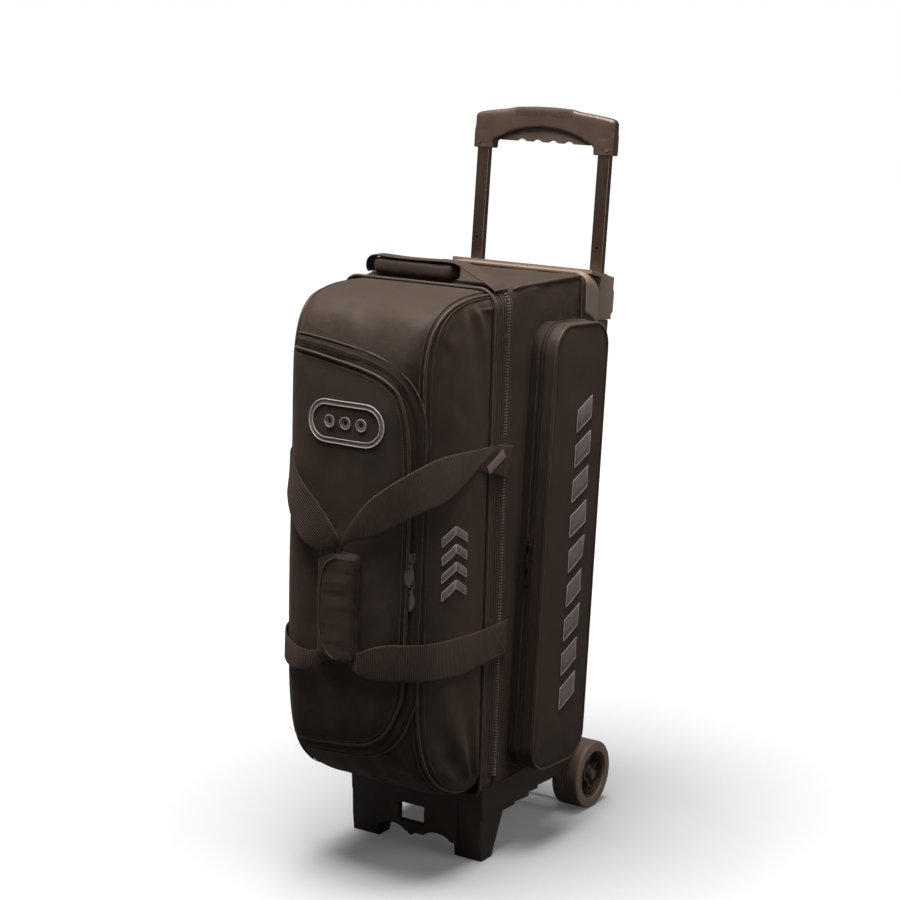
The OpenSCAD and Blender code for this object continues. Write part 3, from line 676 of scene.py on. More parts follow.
def numbered(grid):
    """Each grid point's index in its mesh, and the indexes round the grid's rim."""
    index = np.arange(grid[..., 0].size).reshape(grid.shape[:2])
    return index, np.r_[index[0], index[-1], index[:, 0], index[:, -1]]


def reshape(obj, shape, change):
    """Runs a finished sheet's points through a change that works on its grid."""
    points = in_bag_frame(read(obj.data.vertices, "co").astype(float))
    write(obj.data, place(change(points.reshape(*shape, 3))))


def door_cover():
    grid, left, right = door_grid()
    rows, columns = grid.shape[:2]
    fade = seam_fade(columns, (0, left, right, columns - 1), 3.0)[None]
    fade = fade * seam_fade(rows, (0, rows - 1), 3)[:, None]
    grid = rumple(grid, 4.6, 95.0, 3.0, fade, squeeze=(1.0, 1.2, 0.6))
    grid = rumple(grid, 0.9, 30.0, 7.0, fade, squeeze=(1.0, 1.0, 0.5))
    sink = seam_fade(columns, (left, right), 1.6)[None, :, None]
    grid = grid - grid_normals(grid) * (1 - sink) * 2.0
    index, rim = numbered(grid)
    cover = sheet("door_cover", grid, CLOTH)
    puff(cover, np.unique(np.r_[rim, index[:, left], index[:, right]]), 5.0)
    reshape(cover, (rows, columns), lambda settled: rumple(creased(settled, fade), 1.25, 30.0, 13.0, fade))
    finish_cloth(cover, SHELL_T, "door", "door_shell")
    for side, column in (("left", left), ("right", right)):
        path = spline(grid[::3, column] + grid_normals(grid)[::3, column] * 1.6, 6.0)
        cord(f"door_piping_{side}", path, DOOR_CORD, "door")
        for name, step in (("front", -1), ("side", 1)):
            shift = column + step * (1 if side == "right" else -1)
            line = spline(grid[::3, shift] + grid_normals(grid)[::3, shift] * 1.2, 6.0)
            cord(f"door_welt_{side}_{name}", line, WELT, "door", sides=6)
    return grid


# ---------------------------------------------------------------- box loops

def box_loop(half, low, high, r_low, r_high, corner=8, side=64, cap=24):
    """A rounded box outline in X and Z with a fixed count of points, from bottom centre to the right."""
    def arc(cx, cz, r, start):
        turn = np.radians(np.linspace(start, start + 90, corner, endpoint=False))
        return np.stack([cx + r * np.cos(turn), cz + r * np.sin(turn)], -1)

    def line(p, q, count):
        return np.linspace(p, q, count, endpoint=False)
    parts = [
        line((0, low), (half - r_low, low), cap // 2), arc(half - r_low, low + r_low, r_low, -90),
        line((half, low + r_low), (half, high - r_high), side), arc(half - r_high, high - r_high, r_high, 0),
        line((half - r_high, high), (-half + r_high, high), cap),
        arc(-half + r_high, high - r_high, r_high, 90),
        line((-half, high - r_high), (-half, low + r_low), side), arc(-half + r_low, low + r_low, r_low, 180),
        line((-half + r_low, low), (0, low), cap // 2)]
    return np.vstack(parts)


def loop_rows(spans):
    """A grid of box loops: each span is (Y, outward offset, upper radius)."""
    rows = []
    for y, out, r_high in spans:
        loop = box_loop(HALF_W + out, BODY_Z - min(out, 0.3), BODY_TOP + out, FOOT_R, r_high)
        rows.append(np.stack([loop[:, 0], np.full(len(loop), y), loop[:, 1]], -1))
    return np.array(rows)


ARCH_R = 27.0
ZIP_OUT = 1.3


def arch_path(y, out, r_high=ARCH_R):
    """The part of a box loop above the bag's floor: both sides and the top, without the bottom."""
    loop = box_loop(HALF_W + out, BODY_Z - out, BODY_TOP + out, FOOT_R, r_high)
    loop = loop[loop[:, 1] > BODY_Z + 20]
    return np.stack([loop[:, 0], np.full(len(loop), y), loop[:, 1]], -1)


def arch_normals(path):
    middle = np.stack([np.clip(path[:, 0], -HALF_W + ARCH_R, HALF_W - ARCH_R), path[:, 1],
                       np.clip(path[:, 2], -1e9, BODY_TOP - ARCH_R)], -1)
    return unit(path - middle)


def tape_strip(name, y0, y1, body, replaced):
    """A slightly arched zipper tape over the sides and the top."""
    count = 5
    rows = [arch_path(y, ZIP_OUT - 0.2 + 0.5 * math.sin(math.pi * k / (count - 1)))
            for k, y in enumerate(np.linspace(y0, y1, count))]
    strip = sheet(name, np.array(rows), ZIP_TAPE)
    finish_piece(thicken(strip, TAPE_T), body, "zipper", replaced)


def gusset_and_zip():
    spans = [(0.4, -1.0, 22), (2.5, 1.2, 23), (6, 1.8, 24), (11, 0.9, 25), (13, -0.6, 25), (15, 0.8, 26),
             (20, 1.0, ARCH_R), (25, 0.6, ARCH_R), (GUSSET_D, 0.0, ARCH_R)]
    grid = loop_rows(spans)
    grid = rumple(grid, 0.8, 60.0, 11.0, seam_fade(len(spans), (0, len(spans) - 1), 1.0)[:, None],
                  squeeze=(1, 1, 0.5))
    cover = sheet("gusset_cover", grid, CLOTH, wrap_columns=True)
    finish_cloth(cover, GUSSET_T, "door", "door_gusset")
    seam = loop_rows([(1.0, 1.6, 22)])[0]
    cord("seam_piping", seam, SEAM_CORD, "door", closed=True)
    for y, out in ((13.0, 0.3), (24.4, 1.4)):
        cord(f"gusset_seam_{int(y)}", arch_path(y, out), 0.6, "door", THREAD, sides=6)
    tape_strip("zip_tape_front", 25.5, GUSSET_D, "door", "main_zip_door")
    tape_strip("zip_tape_rear", BODY_Y, BODY_Y + 11.5, "bag", "main_zip_body")
    for name, y, body in (("front", GUSSET_D - 0.2, "door"), ("rear", BODY_Y + 0.2, "bag")):
        path = arch_path(y, ZIP_OUT + 0.2)
        beads(f"zip_teeth_{name}", path, arch_normals(path), MAIN_TOOTH, MAIN_PITCH, ZIP_TEETH, body)
        shift = -7.5 if name == "front" else 7.5
        path = arch_path(y + shift, ZIP_OUT + 0.4)
        beads(f"zip_stitch_{name}", path, arch_normals(path), ZIP_STITCH, STITCH_PITCH, THREAD, body)


# ---------------------------------------------------------------- body

BACK_TOP = 295.0                                  # Y of the back's plane at the top of the body
REAR_SEAM = BODY_D - 1.0
COLLAR_DROP = 62.0                                # how far the plastic collar reaches down the sides
TOP_FROM, TOP_LONG = 50.0, 184.0                  # where the slack of the top cloth starts, and its length


def back_plane(z):
    return BACK_TOP - (BODY_TOP - z) * math.tan(LEAN)


def body_cover():
    def slack(y):
        return np.sin(math.pi * np.clip((y - TOP_FROM) / TOP_LONG, 0, 1))

    def top_radius(y):
        return np.maximum(10, 22 - (y - TOP_FROM) * 0.5)
    spans = [(BODY_Y, 0.0, ARCH_R), (BODY_Y + 5, 0.4, ARCH_R - 1), (BODY_Y + 11, 0.8, 22)]
    spans += [(y, 0.8 + 0.5 * slack(y), top_radius(y)) for y in np.linspace(57, REAR_SEAM - 6, 22)]
    spans += [(REAR_SEAM - 2, 0.4, 10), (REAR_SEAM, -1.2, 10)]
    grid = loop_rows(spans)
    top = grid[:, :, 2] > BODY_TOP - 6
    dip = 3.0 * slack(grid[:, :, 1]) * (1 - (grid[:, :, 0] / HALF_W) ** 2)
    grid[:, :, 2] -= np.where(top, np.clip(dip, 0, None), 0)
    fade = seam_fade(len(spans), (0, 1, len(spans) - 1), 2.0)[:, None]
    grid = rumple(grid, 2.6, 80.0, 21.0, fade, squeeze=(1, 1, 0.6))
    index = numbered(grid)[0]
    corner = np.abs(np.abs(grid[0, :, 0]) - (HALF_W - 8)) < 5
    edge = index[:, corner & (grid[0, :, 2] > BODY_TOP - 12)].ravel()
    under = index[:, grid[0, :, 2] < BODY_Z + 14].ravel()
    cover = sheet("body_cover", grid, CLOTH, wrap_columns=True)
    puff(cover, np.unique(np.r_[index[0], index[1], index[-1], edge, under]), 2.5)
    reshape(cover, grid.shape[:2], lambda settled: rumple(settled, 1.0, 34.0, 23.0, fade))
    finish_cloth(cover, BODY_T, "bag", "side_panel_left", "side_panel_right", "top_panel")
    for name, side in (("left", -1), ("right", 1)):
        reach = np.linspace(BODY_Y + 16, REAR_SEAM, 24)
        r = top_radius(reach)
        path = np.stack([side * (HALF_W + 2.6 - r * 0.29), reach, BODY_TOP + 2.6 - r * 0.29], -1)
        cord(f"top_edge_piping_{name}", path, EDGE_CORD, "bag")
    rear = loop_rows([(REAR_SEAM, 0.8, 10)])[0]
    cord("rear_piping", rear, EDGE_CORD, "bag", closed=True)


def shrink(loop, share, low, high, half):
    """A loop in X and Z drawn in towards the box's upright middle line."""
    middle = np.stack([np.zeros(len(loop)), np.clip(loop[:, 1], low + half, high - half)], -1)
    return middle + (loop - middle) * share


def back_cover():
    spans = [(BODY_D - 4, -3.6, 0.0), (BODY_D + 0.4, -2.2, 0.0), (BODY_D + 4, -2.6, 0.0),
             (BODY_D + 11, -2.4, 0.12), (BODY_D + 15, -0.6, 0.2), (0, 0.2, 0.32), (0, 0.4, 0.6),
             (0, 0.0, 0.85), (0, -2.0, 1.0)]
    rows = []
    for y, out, share in spans:
        loop = box_loop(HALF_W + out, BODY_Z, BODY_TOP + out - 1, FOOT_R, FOOT_R + 26 * share ** 2)
        far = back_plane(loop[:, 1]) - 1.0
        near = np.full(len(loop), y) if y else (BODY_D + 15) + (far - BODY_D - 15) * (share - 0.2) / 0.8
        rows.append(np.stack([loop[:, 0], np.minimum(near, far + share), loop[:, 1]], -1))
    last = rows[-1]
    for share in (0.95, 0.8, 0.55, 0.3, 0.0):
        flat = shrink(last[:, [0, 2]], share, BODY_Z, BODY_TOP, HALF_W - 2)
        rows.append(np.stack([flat[:, 0], back_plane(flat[:, 1]), flat[:, 1]], -1))
    grid = np.array(rows)
    edge = 4                                       # the row where the binding ends and the back starts
    finish_cloth(sheet("rear_binding", grid[:edge + 1], BINDING, wrap_columns=True), BINDING_T, "bag")
    cover = weld(sheet("back_cover", grid[edge:], CLOTH_TOP, wrap_columns=True))
    finish_cloth(cover, GUSSET_T, "bag", "back_pad")
    high = grid[edge][:, 2] > BODY_TOP - COLLAR_DROP
    order = np.argwhere(high & ~np.roll(high, 1))[0][0] + np.arange(high.sum())
    saddle = grid[edge:edge + 5][:, order % len(high)]
    saddle = saddle + grid_normals(saddle) * 1.4
    collar = sheet("rear_collar", saddle, COLLAR_PAINTED_HIGHLIGHT)
    finish_piece(thicken(collar, 2.2, smooth=True), "bag", "grip_plastic")


def pad(name, half_x, y0, y1, z0, z1, crown, material, body, *replaced, hole=None, seat_y=0.0):
    """A thin padded plate lying flat and crowned on both faces, with a seat of radius hole through it."""
    middle = (y0 + y1) / 2
    half_y = (y1 - y0) / 2
    turn = np.linspace(0, 2 * math.pi, 96, endpoint=False)
    power = 0.22
    rim = np.stack([half_x * np.sign(np.cos(turn)) * np.abs(np.cos(turn)) ** power,
                    half_y * np.sign(np.sin(turn)) * np.abs(np.sin(turn)) ** power], -1)
    seat = np.stack([hole * np.cos(turn), hole * np.sin(turn) + seat_y - middle], -1) if hole else rim * 0.0
    steps = (0.0, 0.02, 0.08, 0.25, 0.5, 0.75, 0.92, 0.98, 1.0)
    swell = (0.0, 0.5, 0.85, 1.0, 1.0) + ((1.0, 0.85, 0.5, 0.0) if hole else (1.0,) * 4)
    above = list(zip(steps, swell))
    rows = []
    for step, rise in above + [(step, -rise) for step, rise in reversed(above)]:
        flat = rim + (seat - rim) * step
        height = (z0 + z1) / 2 + ((z1 - z0) / 2 + crown) * rise
        rows.append(np.stack([flat[:, 0], flat[:, 1] + middle, np.full(len(flat), height)], -1))
    made = weld(sheet(name, np.array(rows), material, wrap_rows=bool(hole), wrap_columns=True, flip=True))
    return finish_piece(made, body, "lining", *replaced)


SEAT_R = 61.0                                     # radius of the round seat each ball rests in


def inside():
    low, high = cad_box("floor_board")
    pad("floor_pad", high[0] - 0.5, low[1] + 0.5, high[1] - 0.5, low[2] + 0.5, high[2] - 0.8, 0.3,
        LINING, "bag", "floor_board")
    low, high = cad_box("ball_dividers")
    thick = 6.0
    seat_y = (BODY_Y + BODY_D) / 2 - 18
    for number, z, replaced in (("lower", low[2], ("ball_dividers",)), ("upper", high[2] - thick, ())):
        pad(f"ball_shelf_{number}", high[0] - 0.5, low[1] + 0.5, high[1] - 0.5, z, z + thick, 0.8,
            LINING, "bag", *replaced, hole=SEAT_R, seat_y=seat_y)
    low, high = cad_box("door_back")
    rows = []
    for y, share in ((low[1], 0.0), (low[1], 1.0), (high[1], 0.995), (high[1] + 1.2, 0.97),
                     (high[1] + 1.6, 0.8), (high[1] + 1.8, 0.0)):
        loop = box_loop(high[0] - 0.5, low[2], high[2], 10, 18)
        flat = shrink(loop, share, low[2], high[2], high[0])
        rows.append(np.stack([flat[:, 0], np.full(len(flat), y), flat[:, 1]], -1))
    lining = weld(sheet("door_lining", np.array(rows), LINING, wrap_columns=True))
    finish_piece(lining, "door", "lining", "door_back")


# ---------------------------------------------------------------- shoe flap

FLAP_LEFT = -101.5
FLAP_EDGE = [(FLAP_LEFT, 725), (-84, 723), (-30, 716), (25, 706), (60, 692), (77, 672), (87, 624), (90, 540),
             (90.5, 460), (90, 387), (87, 290), (80, 260), (64, 230), (40, 211), (16, 202), (-40, 195),
             (FLAP_LEFT, 188)]


FLAP_CORNERS = ((73, 680), (72, 242))             # where the flap's outline turns at the top and the bottom


def front_point(x, z, lift=0.0):
    """The point on the door's front with this X and height, lifted off the cloth."""
    x = np.asarray(x, float)
    s = along_front(z)
    r = edge_radius(s, x < 0)
    flat = HALF_W - r
    bent = np.clip((np.abs(x) - flat) / r, 0, 1)
    arc = np.where(bent > 0, flat + r * np.arcsin(bent), np.abs(x)) * np.sign(x)
    return door_point(arc, s, lift)


def side_step(path, distance):
    """A flat path moved sideways, to the left of its direction when distance is positive."""
    path = np.asarray(path, float)
    ahead = unit(np.gradient(path, axis=0))
    return path + np.stack([-ahead[:, 1], ahead[:, 0]], -1) * np.asarray(distance, float).reshape(-1, 1)


def patch(bottom, top, left, right):
    """A grid that fills four meeting curves, row by row from bottom to top."""
    u = np.linspace(0, 1, len(bottom))[None, :, None]
    v = np.linspace(0, 1, len(left))[:, None, None]
    sides = (1 - v) * bottom[None] + v * top[None] + (1 - u) * left[:, None] + u * right[:, None]
    corners = ((1 - u) * (1 - v) * bottom[0] + u * (1 - v) * bottom[-1]
               + (1 - u) * v * top[0] + u * v * top[-1])
    return sides - corners


def shoe_flap():
    edge = spline(FLAP_EDGE, 5.0)
    split_top, split_low = (int(np.argmin(np.linalg.norm(edge - np.array(corner), axis=1)))
                            for corner in FLAP_CORNERS)
    top = even(edge[:split_top + 1], 34)
    right = even(edge[split_top:split_low + 1][::-1], 84)
    low = even(edge[split_low:][::-1], 34)
    left = np.linspace(edge[-1], edge[0], 84)
    flat = patch(low, top, left, right)
    to_edges = [np.linalg.norm(flat - side, axis=2) for side in (flat[:, -1:], flat[-1:], flat[:1])]
    gap = np.minimum.reduce([*to_edges, flat[:, :, 0] - FLAP_LEFT + 1])
    lift = 1.0 + 5.0 * (1 - np.exp(-gap / 9.0))
    grid = front_point(flat[:, :, 0], flat[:, :, 1], lift)
    rows, columns = grid.shape[:2]
    fade = seam_fade(columns, (0, columns - 1), 3)[None] * seam_fade(rows, (0, rows - 1), 3)[:, None]
    grid = rumple(grid, 2.0, 90.0, 31.0, fade, outward=-1.0)
    grid = rumple(grid, 0.6, 28.0, 37.0, fade, outward=-1.0, squeeze=(1.0, 1.0, 0.5))
    flap = sheet("flap_cover", grid, CLOTH, flip=True)
    puff(flap, np.unique(numbered(grid)[1]), 2.5)
    reshape(flap, (rows, columns), lambda settled: rumple(settled, 1.1, 30.0, 39.0, fade, outward=-1.0))
    finish_cloth(flap, SHELL_T, "door", "shoe_flap")
    shoe_zipper(edge)


def shoe_zipper(edge):
    """The band, teeth, seams and stitches round the edge of the shoe flap."""
    share = np.linspace(0, 1, len(edge))
    rise = np.clip(np.minimum(share, 1 - share) / 0.025, 0.1, 1)
    width = np.interp(share, [0, 0.18, 0.27, 0.36, 0.6, 0.68, 0.78, 1], [19, 22, 20, 14, 13, 14, 19, 17])
    rows = [front_point(*side_step(edge, width * part).T, height * rise)
            for part, height in ((0.05, 1.2), (0.3, 2.6), (0.55, 3.0), (0.8, 2.4), (1.0, 0.6))]
    band = thicken(sheet("shoe_zip_band", np.array(rows), ZIP_TAPE, flip=True), BINDING_T, smooth=True)
    finish_piece(band, "door", "zipper", "shoe_zip_tape")
    cord("flap_piping", front_point(*edge.T, 4.0 * rise), FLAP_CORD, "door")
    outer = front_point(*side_step(edge, width * 1.02).T, 1.4 * rise)
    cord("shoe_band_seam", outer, 1.5, "door")
    for name, part in (("inner", 0.47), ("outer", 0.6)):
        path = front_point(*side_step(edge, width * part).T, 2.4 * rise)
        normals = path - front_point(*side_step(edge, width * part).T, 0.0)
        beads(f"shoe_teeth_{name}", path, normals, SHOE_TOOTH, SHOE_PITCH, COIL, "door")
    inner = front_point(*side_step(edge, -6.0).T, 6.6)
    normals = inner - front_point(*side_step(edge, -6.0).T, 0.0)
    beads("flap_stitch", inner, normals, STITCH, 4.2, THREAD, "door", "fabric")


# ---------------------------------------------------------------- side pocket

POCKET_FACE = cad_box("pocket_lid")[1][0]
POCKET_IN = cad_box("pocket_base")[0][0]


def pocket_place(x, y, z):
    """From the pocket's own upright frame to the bag's."""
    c, s = math.cos(POCKET_LEAN), math.sin(POCKET_LEAN)
    x, y, z = np.broadcast_arrays(x, y, z)
    return np.stack([x, POCKET_Y + y * c + z * s, POCKET_Z - y * s + z * c], -1)


# the pocket's outline in its own Y and Z: along the bottom, up the front and down the back
POCKET_LOOP = box_loop(POCKET_W / 2, -POCKET_H / 2, POCKET_H / 2, POCKET_R, POCKET_R, 8, 72, 12) * [-1, 1]
POCKET_CORE = np.stack([np.clip(POCKET_LOOP[:, i], -size / 2 + POCKET_R, size / 2 - POCKET_R)
                        for i, size in enumerate((POCKET_W, POCKET_H))], -1)


def pocket_flat(out):
    return POCKET_CORE + (POCKET_LOOP - POCKET_CORE) * (POCKET_R + out) / POCKET_R


def pocket_rows(spans):
    return np.array([pocket_place(x, *pocket_flat(out).T) for x, out in spans])


def side_pocket():
    base = pocket_rows([(POCKET_IN, 1.5), (POCKET_IN + 2, 0.2), (POCKET_IN + 7, 0.9), (POCKET_SPLIT - 6, 0.5),
                        (POCKET_SPLIT - 4.6, -0.6)])
    # Painted shade: the pocket's wall takes the darker binding cloth, standing in for the shadow in the gap
    # between the pocket and the body.
    wall = sheet("pocket_wall", base, BINDING, wrap_columns=True)
    finish_cloth(wall, SHELL_T, "bag", "pocket_base")
    pocket_lid()
    for name, x, out, radius, body in (("piping", POCKET_FACE - 1.6, -1.0, FLAP_CORD, "pocket_lid"),
                                       ("seam", POCKET_IN + 1.2, 1.6, 1.6, "bag")):
        cord(f"pocket_{name}", pocket_rows([(x, out)])[0], radius, body, closed=True)
    pocket_zipper()
    pocket_fold()


def pocket_lid():
    """The lid's wall and its crowned face, which is drawn in to the middle line."""
    lid = [(POCKET_SPLIT + 4.6, -0.6), (POCKET_SPLIT + 6, 0.5), (POCKET_SPLIT + 13, 0.7),
           (POCKET_FACE - 5, 0.2), (POCKET_FACE - 2, -1.4), (POCKET_FACE - 0.6, -4.5)]
    rows = list(pocket_rows(lid))
    loop = pocket_flat(-4.5)
    half = POCKET_W / 2 - 4.5
    reach = POCKET_H / 2 - half - 4
    spine = np.stack([np.zeros(len(loop)), np.clip(loop[:, 1], -reach, reach)], -1)
    for share in (0.94, 0.86, 0.76, 0.64, 0.52, 0.4, 0.28, 0.15, 0.0):
        flat = spine + (loop - spine) * share
        crown = 3.4 * (1 - share ** 2)
        rows.append(pocket_place(POCKET_FACE - 0.2 + crown, flat[:, 0], flat[:, 1]))
    grid = np.array(rows)
    fade = seam_fade(len(rows), (0, 1, 4), 1.6)[:, None]
    grid = rumple(grid, 1.9, 70.0, 41.0, fade)
    cover = weld(sheet("pocket_cover", grid, CLOTH, wrap_columns=True))
    finish_cloth(cover, SHELL_T, "pocket_lid", "pocket_lid")


def pocket_zipper():
    """A tape and its teeth on each side of the pocket's opening, all round but for the hinge."""
    middle = POCKET_SPLIT - 0.3
    reach = (POCKET_H - POCKET_W) / 2 - 0.5
    front = POCKET_LOOP[:, 0] < POCKET_W / 2 - 0.5
    order = (np.argmax(front & ~np.roll(front, 1)) + np.arange(front.sum())) % len(POCKET_LOOP)
    for name, side, body in (("base", -1, "bag"), ("lid", 1, "pocket_lid")):
        rows = pocket_rows([(middle + side * d, out)
                            for d, out in ((0.5, 0.5), (1.5, 0.7), (3.5, 0.5), (5.5, -0.3))])[:, order]
        tape = sheet(f"pocket_tape_{name}", rows if side > 0 else rows[::-1], ZIP_TAPE)
        finish_piece(thicken(tape, 1.2), body, "zipper")
        away = rows[0] - pocket_place(middle, 0.0, np.clip(POCKET_LOOP[order, 1], -reach, reach))
        beads(f"pocket_teeth_{name}", rows[0], away, POCKET_TOOTH, POCKET_PITCH, COIL, body)


def pocket_fold():
    """The cloth hinge of the pocket's lid."""
    z = np.linspace(-POCKET_H / 2 + POCKET_R - 2, POCKET_H / 2 - POCKET_R + 2, 28)
    y = POCKET_W / 2 + 0.4
    rows = [pocket_place(POCKET_SPLIT + x, y + out, z)
            for x, out in ((-5.5, -0.6), (-2, 0.0), (0, 0.4), (2, 0.0), (5.5, -0.6))]
    strip = thicken(sheet("pocket_fold", np.array(rows), CLOTH), 1.2)
    edge = pocket_place(POCKET_SPLIT, y, 0.0)
    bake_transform(strip)


def door_fold():
    """The cloth hinge at the foot of the door."""
    x = np.linspace(-100, 100, 20)
    rows = [np.stack([x, np.full(20, y), np.full(20, BODY_Z + rise)], -1)
            for y, rise in ((26, 1.5), (34, 1.2), (38, 1.0), (42, 1.2), (50, 1.5))]
    strip = thicken(sheet("door_fold", np.array(rows), LINING), 1.0)
    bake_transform(strip)


# ---------------------------------------------------------------- straps

WEB_T = 2.0
UPPER_RIGHT = ([(126, 15, 598), (126, -10, 599), (126, -60, 601), (119, -119, 600),
                (99, -158, 584), (72, -170, 564), (44, -171, 542), (20, -170, 514), (5, -171, 488),
                (4, -166, 470)],
               [(126, -42, 573), (126, -57, 564), (126, -78, 555), (125, -112, 542),
                (111, -151, 531), (86, -167, 514), (56, -168, 497), (28, -168, 488), (6, -170, 478),
                (-6, -166, 466)])
UPPER_LEFT = ([(-125, 60, 585), (-125, 0, 588), (-125, -60, 588), (-118, -117, 584), (-94, -146, 572),
               (-66, -164, 552), (-40, -170, 532), (-18, -172, 510), (-4, -171, 490), (-2, -166, 472)],
              [(-125, 60, 535), (-125, 0, 538), (-126, -60, 538), (-121, -116, 530), (-103, -145, 516),
               (-82, -162, 494), (-58, -174, 476), (-34, -174, 466), (-14, -170, 466), (-10, -166, 466)])
LOWER_RIGHT = ([(125, 52, 350), (125, -20, 349), (125, -67, 352), (118, -121, 354), (99, -151, 355),
                (72, -162, 353), (46, -165, 344), (30, -167, 336), (12, -165, 332)],
               [(125, 52, 300), (125, -20, 299), (125, -67, 298), (118, -121, 303), (99, -151, 305),
                (72, -162, 304), (46, -165, 302), (30, -167, 306), (12, -165, 316)])
LOWER_LEFT = ([(-125, 52, 350), (-125, -60, 348), (-118, -120, 342), (-98, -150, 334), (-72, -164, 328),
               (-48, -168, 326), (-22, -166, 332)],
              [(-125, 52, 300), (-125, -60, 300), (-118, -122, 298), (-98, -150, 296), (-74, -166, 296),
               (-48, -168, 300), (-22, -166, 316)])


def webbing(name, one, other, body, *replaced, material=WEBBING, thickness=WEB_T):
    """A flat band between two edge curves, with rounded edges and its own length and width as UVs."""
    count = 90
    one, other = even(spline(one, 3.0), count), even(spline(other, 3.0), count)
    middle = (one + other) / 2
    ahead = np.gradient(middle, axis=0)
    across = other - one
    width = np.linalg.norm(across, axis=1)
    out = unit(np.cross(ahead, across))
    if np.mean((middle - np.array([0, 60, 450])) * out) < 0:
        out = -out
    length = lengths_along(middle)
    shape = [(0.0, 0.0), (0.02, 0.75), (0.06, 1.0), (0.5, 1.0), (0.94, 1.0), (0.98, 0.75), (1.0, 0.0),
             (0.98, -0.75), (0.94, -1.0), (0.5, -1.0), (0.06, -1.0), (0.02, -0.75)]
    points, uv = [], []
    for i in range(count):
        for share, height in shape:
            points.append(one[i] + across[i] * share + out[i] * height * thickness / 2)
            uv.append((length[i], share * width[i]))
    flip = np.dot(np.cross(ahead[10], across[10]), out[10]) < 0
    faces = grid_faces(count, len(shape), False, True, flip=bool(flip))
    first, last = (tuple(range(start, start + len(shape))) for start in (0, (count - 1) * len(shape)))
    faces += [first, last[::-1]] if flip else [first[::-1], last]
    made = make_object(name, points, faces, material, uv=np.array(uv))
    return finish_piece(made, body, "webbing", *replaced)


def stitch_box(name, corners, body, lift):
    """A sewn rectangle with a cross, on the side of the bag, from opposite (Y, Z) corners at X = lift."""
    (y0, z0), (y1, z1) = corners
    turns = [(lift, y0, z0), (lift, y1, z0), (lift, y1, z1), (lift, y0, z1)]
    for number, (first, last) in enumerate(((0, 1), (1, 2), (2, 3), (3, 0), (0, 2), (3, 1))):
        path = resample([turns[first], turns[last]], STITCH_PITCH)
        away = np.tile([math.copysign(1, lift), 0, 0], (len(path), 1))
        beads(f"{name}_{number}", path, away, STITCH, STITCH_PITCH, THREAD, body, "webbing")


def straps():
    for side, upper, lower in (("right", UPPER_RIGHT, LOWER_RIGHT), ("left", UPPER_LEFT, LOWER_LEFT)):
        webbing(f"strap_upper_{side}", *upper, "door", f"strap_{side}")
        webbing(f"strap_lower_{side}", *lower, "door")
    webbing("strap_tab", [(124, 15, 598), (125, 50, 591)], [(124, -42, 573), (125, 39, 548)],
            "door", thickness=1.6)
    stitch_box("lower_stitch", ((46, 304), (8, 345)), "door", 126.1)
    webbing("strap_label", [(126.4, -16, 573), (126.6, 24, 590)], [(126.4, -9, 561), (126.6, 31, 578)],
            "door", material=LABEL, thickness=0.7)


def sleeve(name, centre, half, z0, z1, material, body, *replaced, creases):
    """A padded upright sleeve: rounded sections along Z, creased, closed at both ends."""
    turn = np.linspace(0, 2 * math.pi, 56, endpoint=False)
    rows = []
    for v in np.linspace(0, 1, 40):
        end = min(v, 1 - v) * (z1 - z0)
        full = math.sqrt(max(0.0, 1 - (1 - min(1.0, end / 7.0)) ** 2))
        x = centre[0] + half[0] * np.sign(np.cos(turn)) * np.abs(np.cos(turn)) ** 0.42 * (0.9 + 0.1 * full)
        y = centre[1] + half[1] * np.sign(np.sin(turn)) * np.abs(np.sin(turn)) ** 0.6 * (0.35 + 0.65 * full)
        z = z0 + (z1 - z0) * v
        rows.append(np.stack([x, y, np.full(len(turn), z)], -1))
    low, high = np.array([*centre, z0]), np.array([*centre, z1])
    for share in (0.6, 0.0):
        rows = [low + (rows[0] - low) * share, *rows, high + (rows[-1] - high) * share]
    grid = np.array(rows)
    grid = rumple(grid, creases, 30.0, 51.0, seam_fade(len(rows), (0, len(rows) - 1), 3)[:, None],
                  outward=-1.0, squeeze=(0.35, 0.35, 2.0))
    made = weld(sheet(name, grid, material, wrap_columns=True, flip=True))
    finish_piece(soften(made), body, "webbing", *replaced)


def wrap():
    low, high = cad_box("wrap_handle")
    centre = ((low[0] + high[0]) / 2, (low[1] + high[1]) / 2 + 1)
    half = ((high[0] - low[0]) / 2, (high[1] - low[1]) / 2 - 1.5)
    sleeve("wrap_sleeve", centre, half, low[2], high[2], CLOTH, "door", "wrap_handle", creases=1.8)
    edge = spline([(-2, high[2] - 5), (-19, high[2] - 16), (-27, high[2] - 42), (-29, (low[2] + high[2]) / 2),
                   (-27, low[2] + 42), (-19, low[2] + 16), (-2, low[2] + 5)], 4.0)
    rows = []
    for share in np.linspace(0, 1, 14):
        x = edge[:, 0] + (high[0] - 2.5 - edge[:, 0]) * share
        round_off = np.clip(np.abs((x - centre[0]) / half[0]), 0, 0.999)
        front = centre[1] - half[1] * (1 - round_off ** 4.8) ** 0.6 - 2.2
        rows.append(np.stack([x, front, edge[:, 1]], -1))
    grid = rumple(np.array(rows), 1.5, 30.0, 57.0, seam_fade(14, (0, 13), 2)[:, None], squeeze=(0.4, 1, 2.0),
                  outward=-1.0)
    flap = thicken(sheet("wrap_flap", grid, CLOTH_TOP, flip=True), 2.0, CLOTH, True)
    finish_piece(flap, "door", "webbing")
    cord("wrap_edge", grid[0] + np.array([0, -0.4, 0]), 1.3, "door", slot="webbing")
    stitch = grid[1] + np.array([0, -0.5, 0])
    away = np.tile([0, -1.0, 0], (len(stitch), 1))
    beads("wrap_stitch", stitch, away, WRAP_STITCH, STITCH_PITCH, THREAD, "door", "webbing")


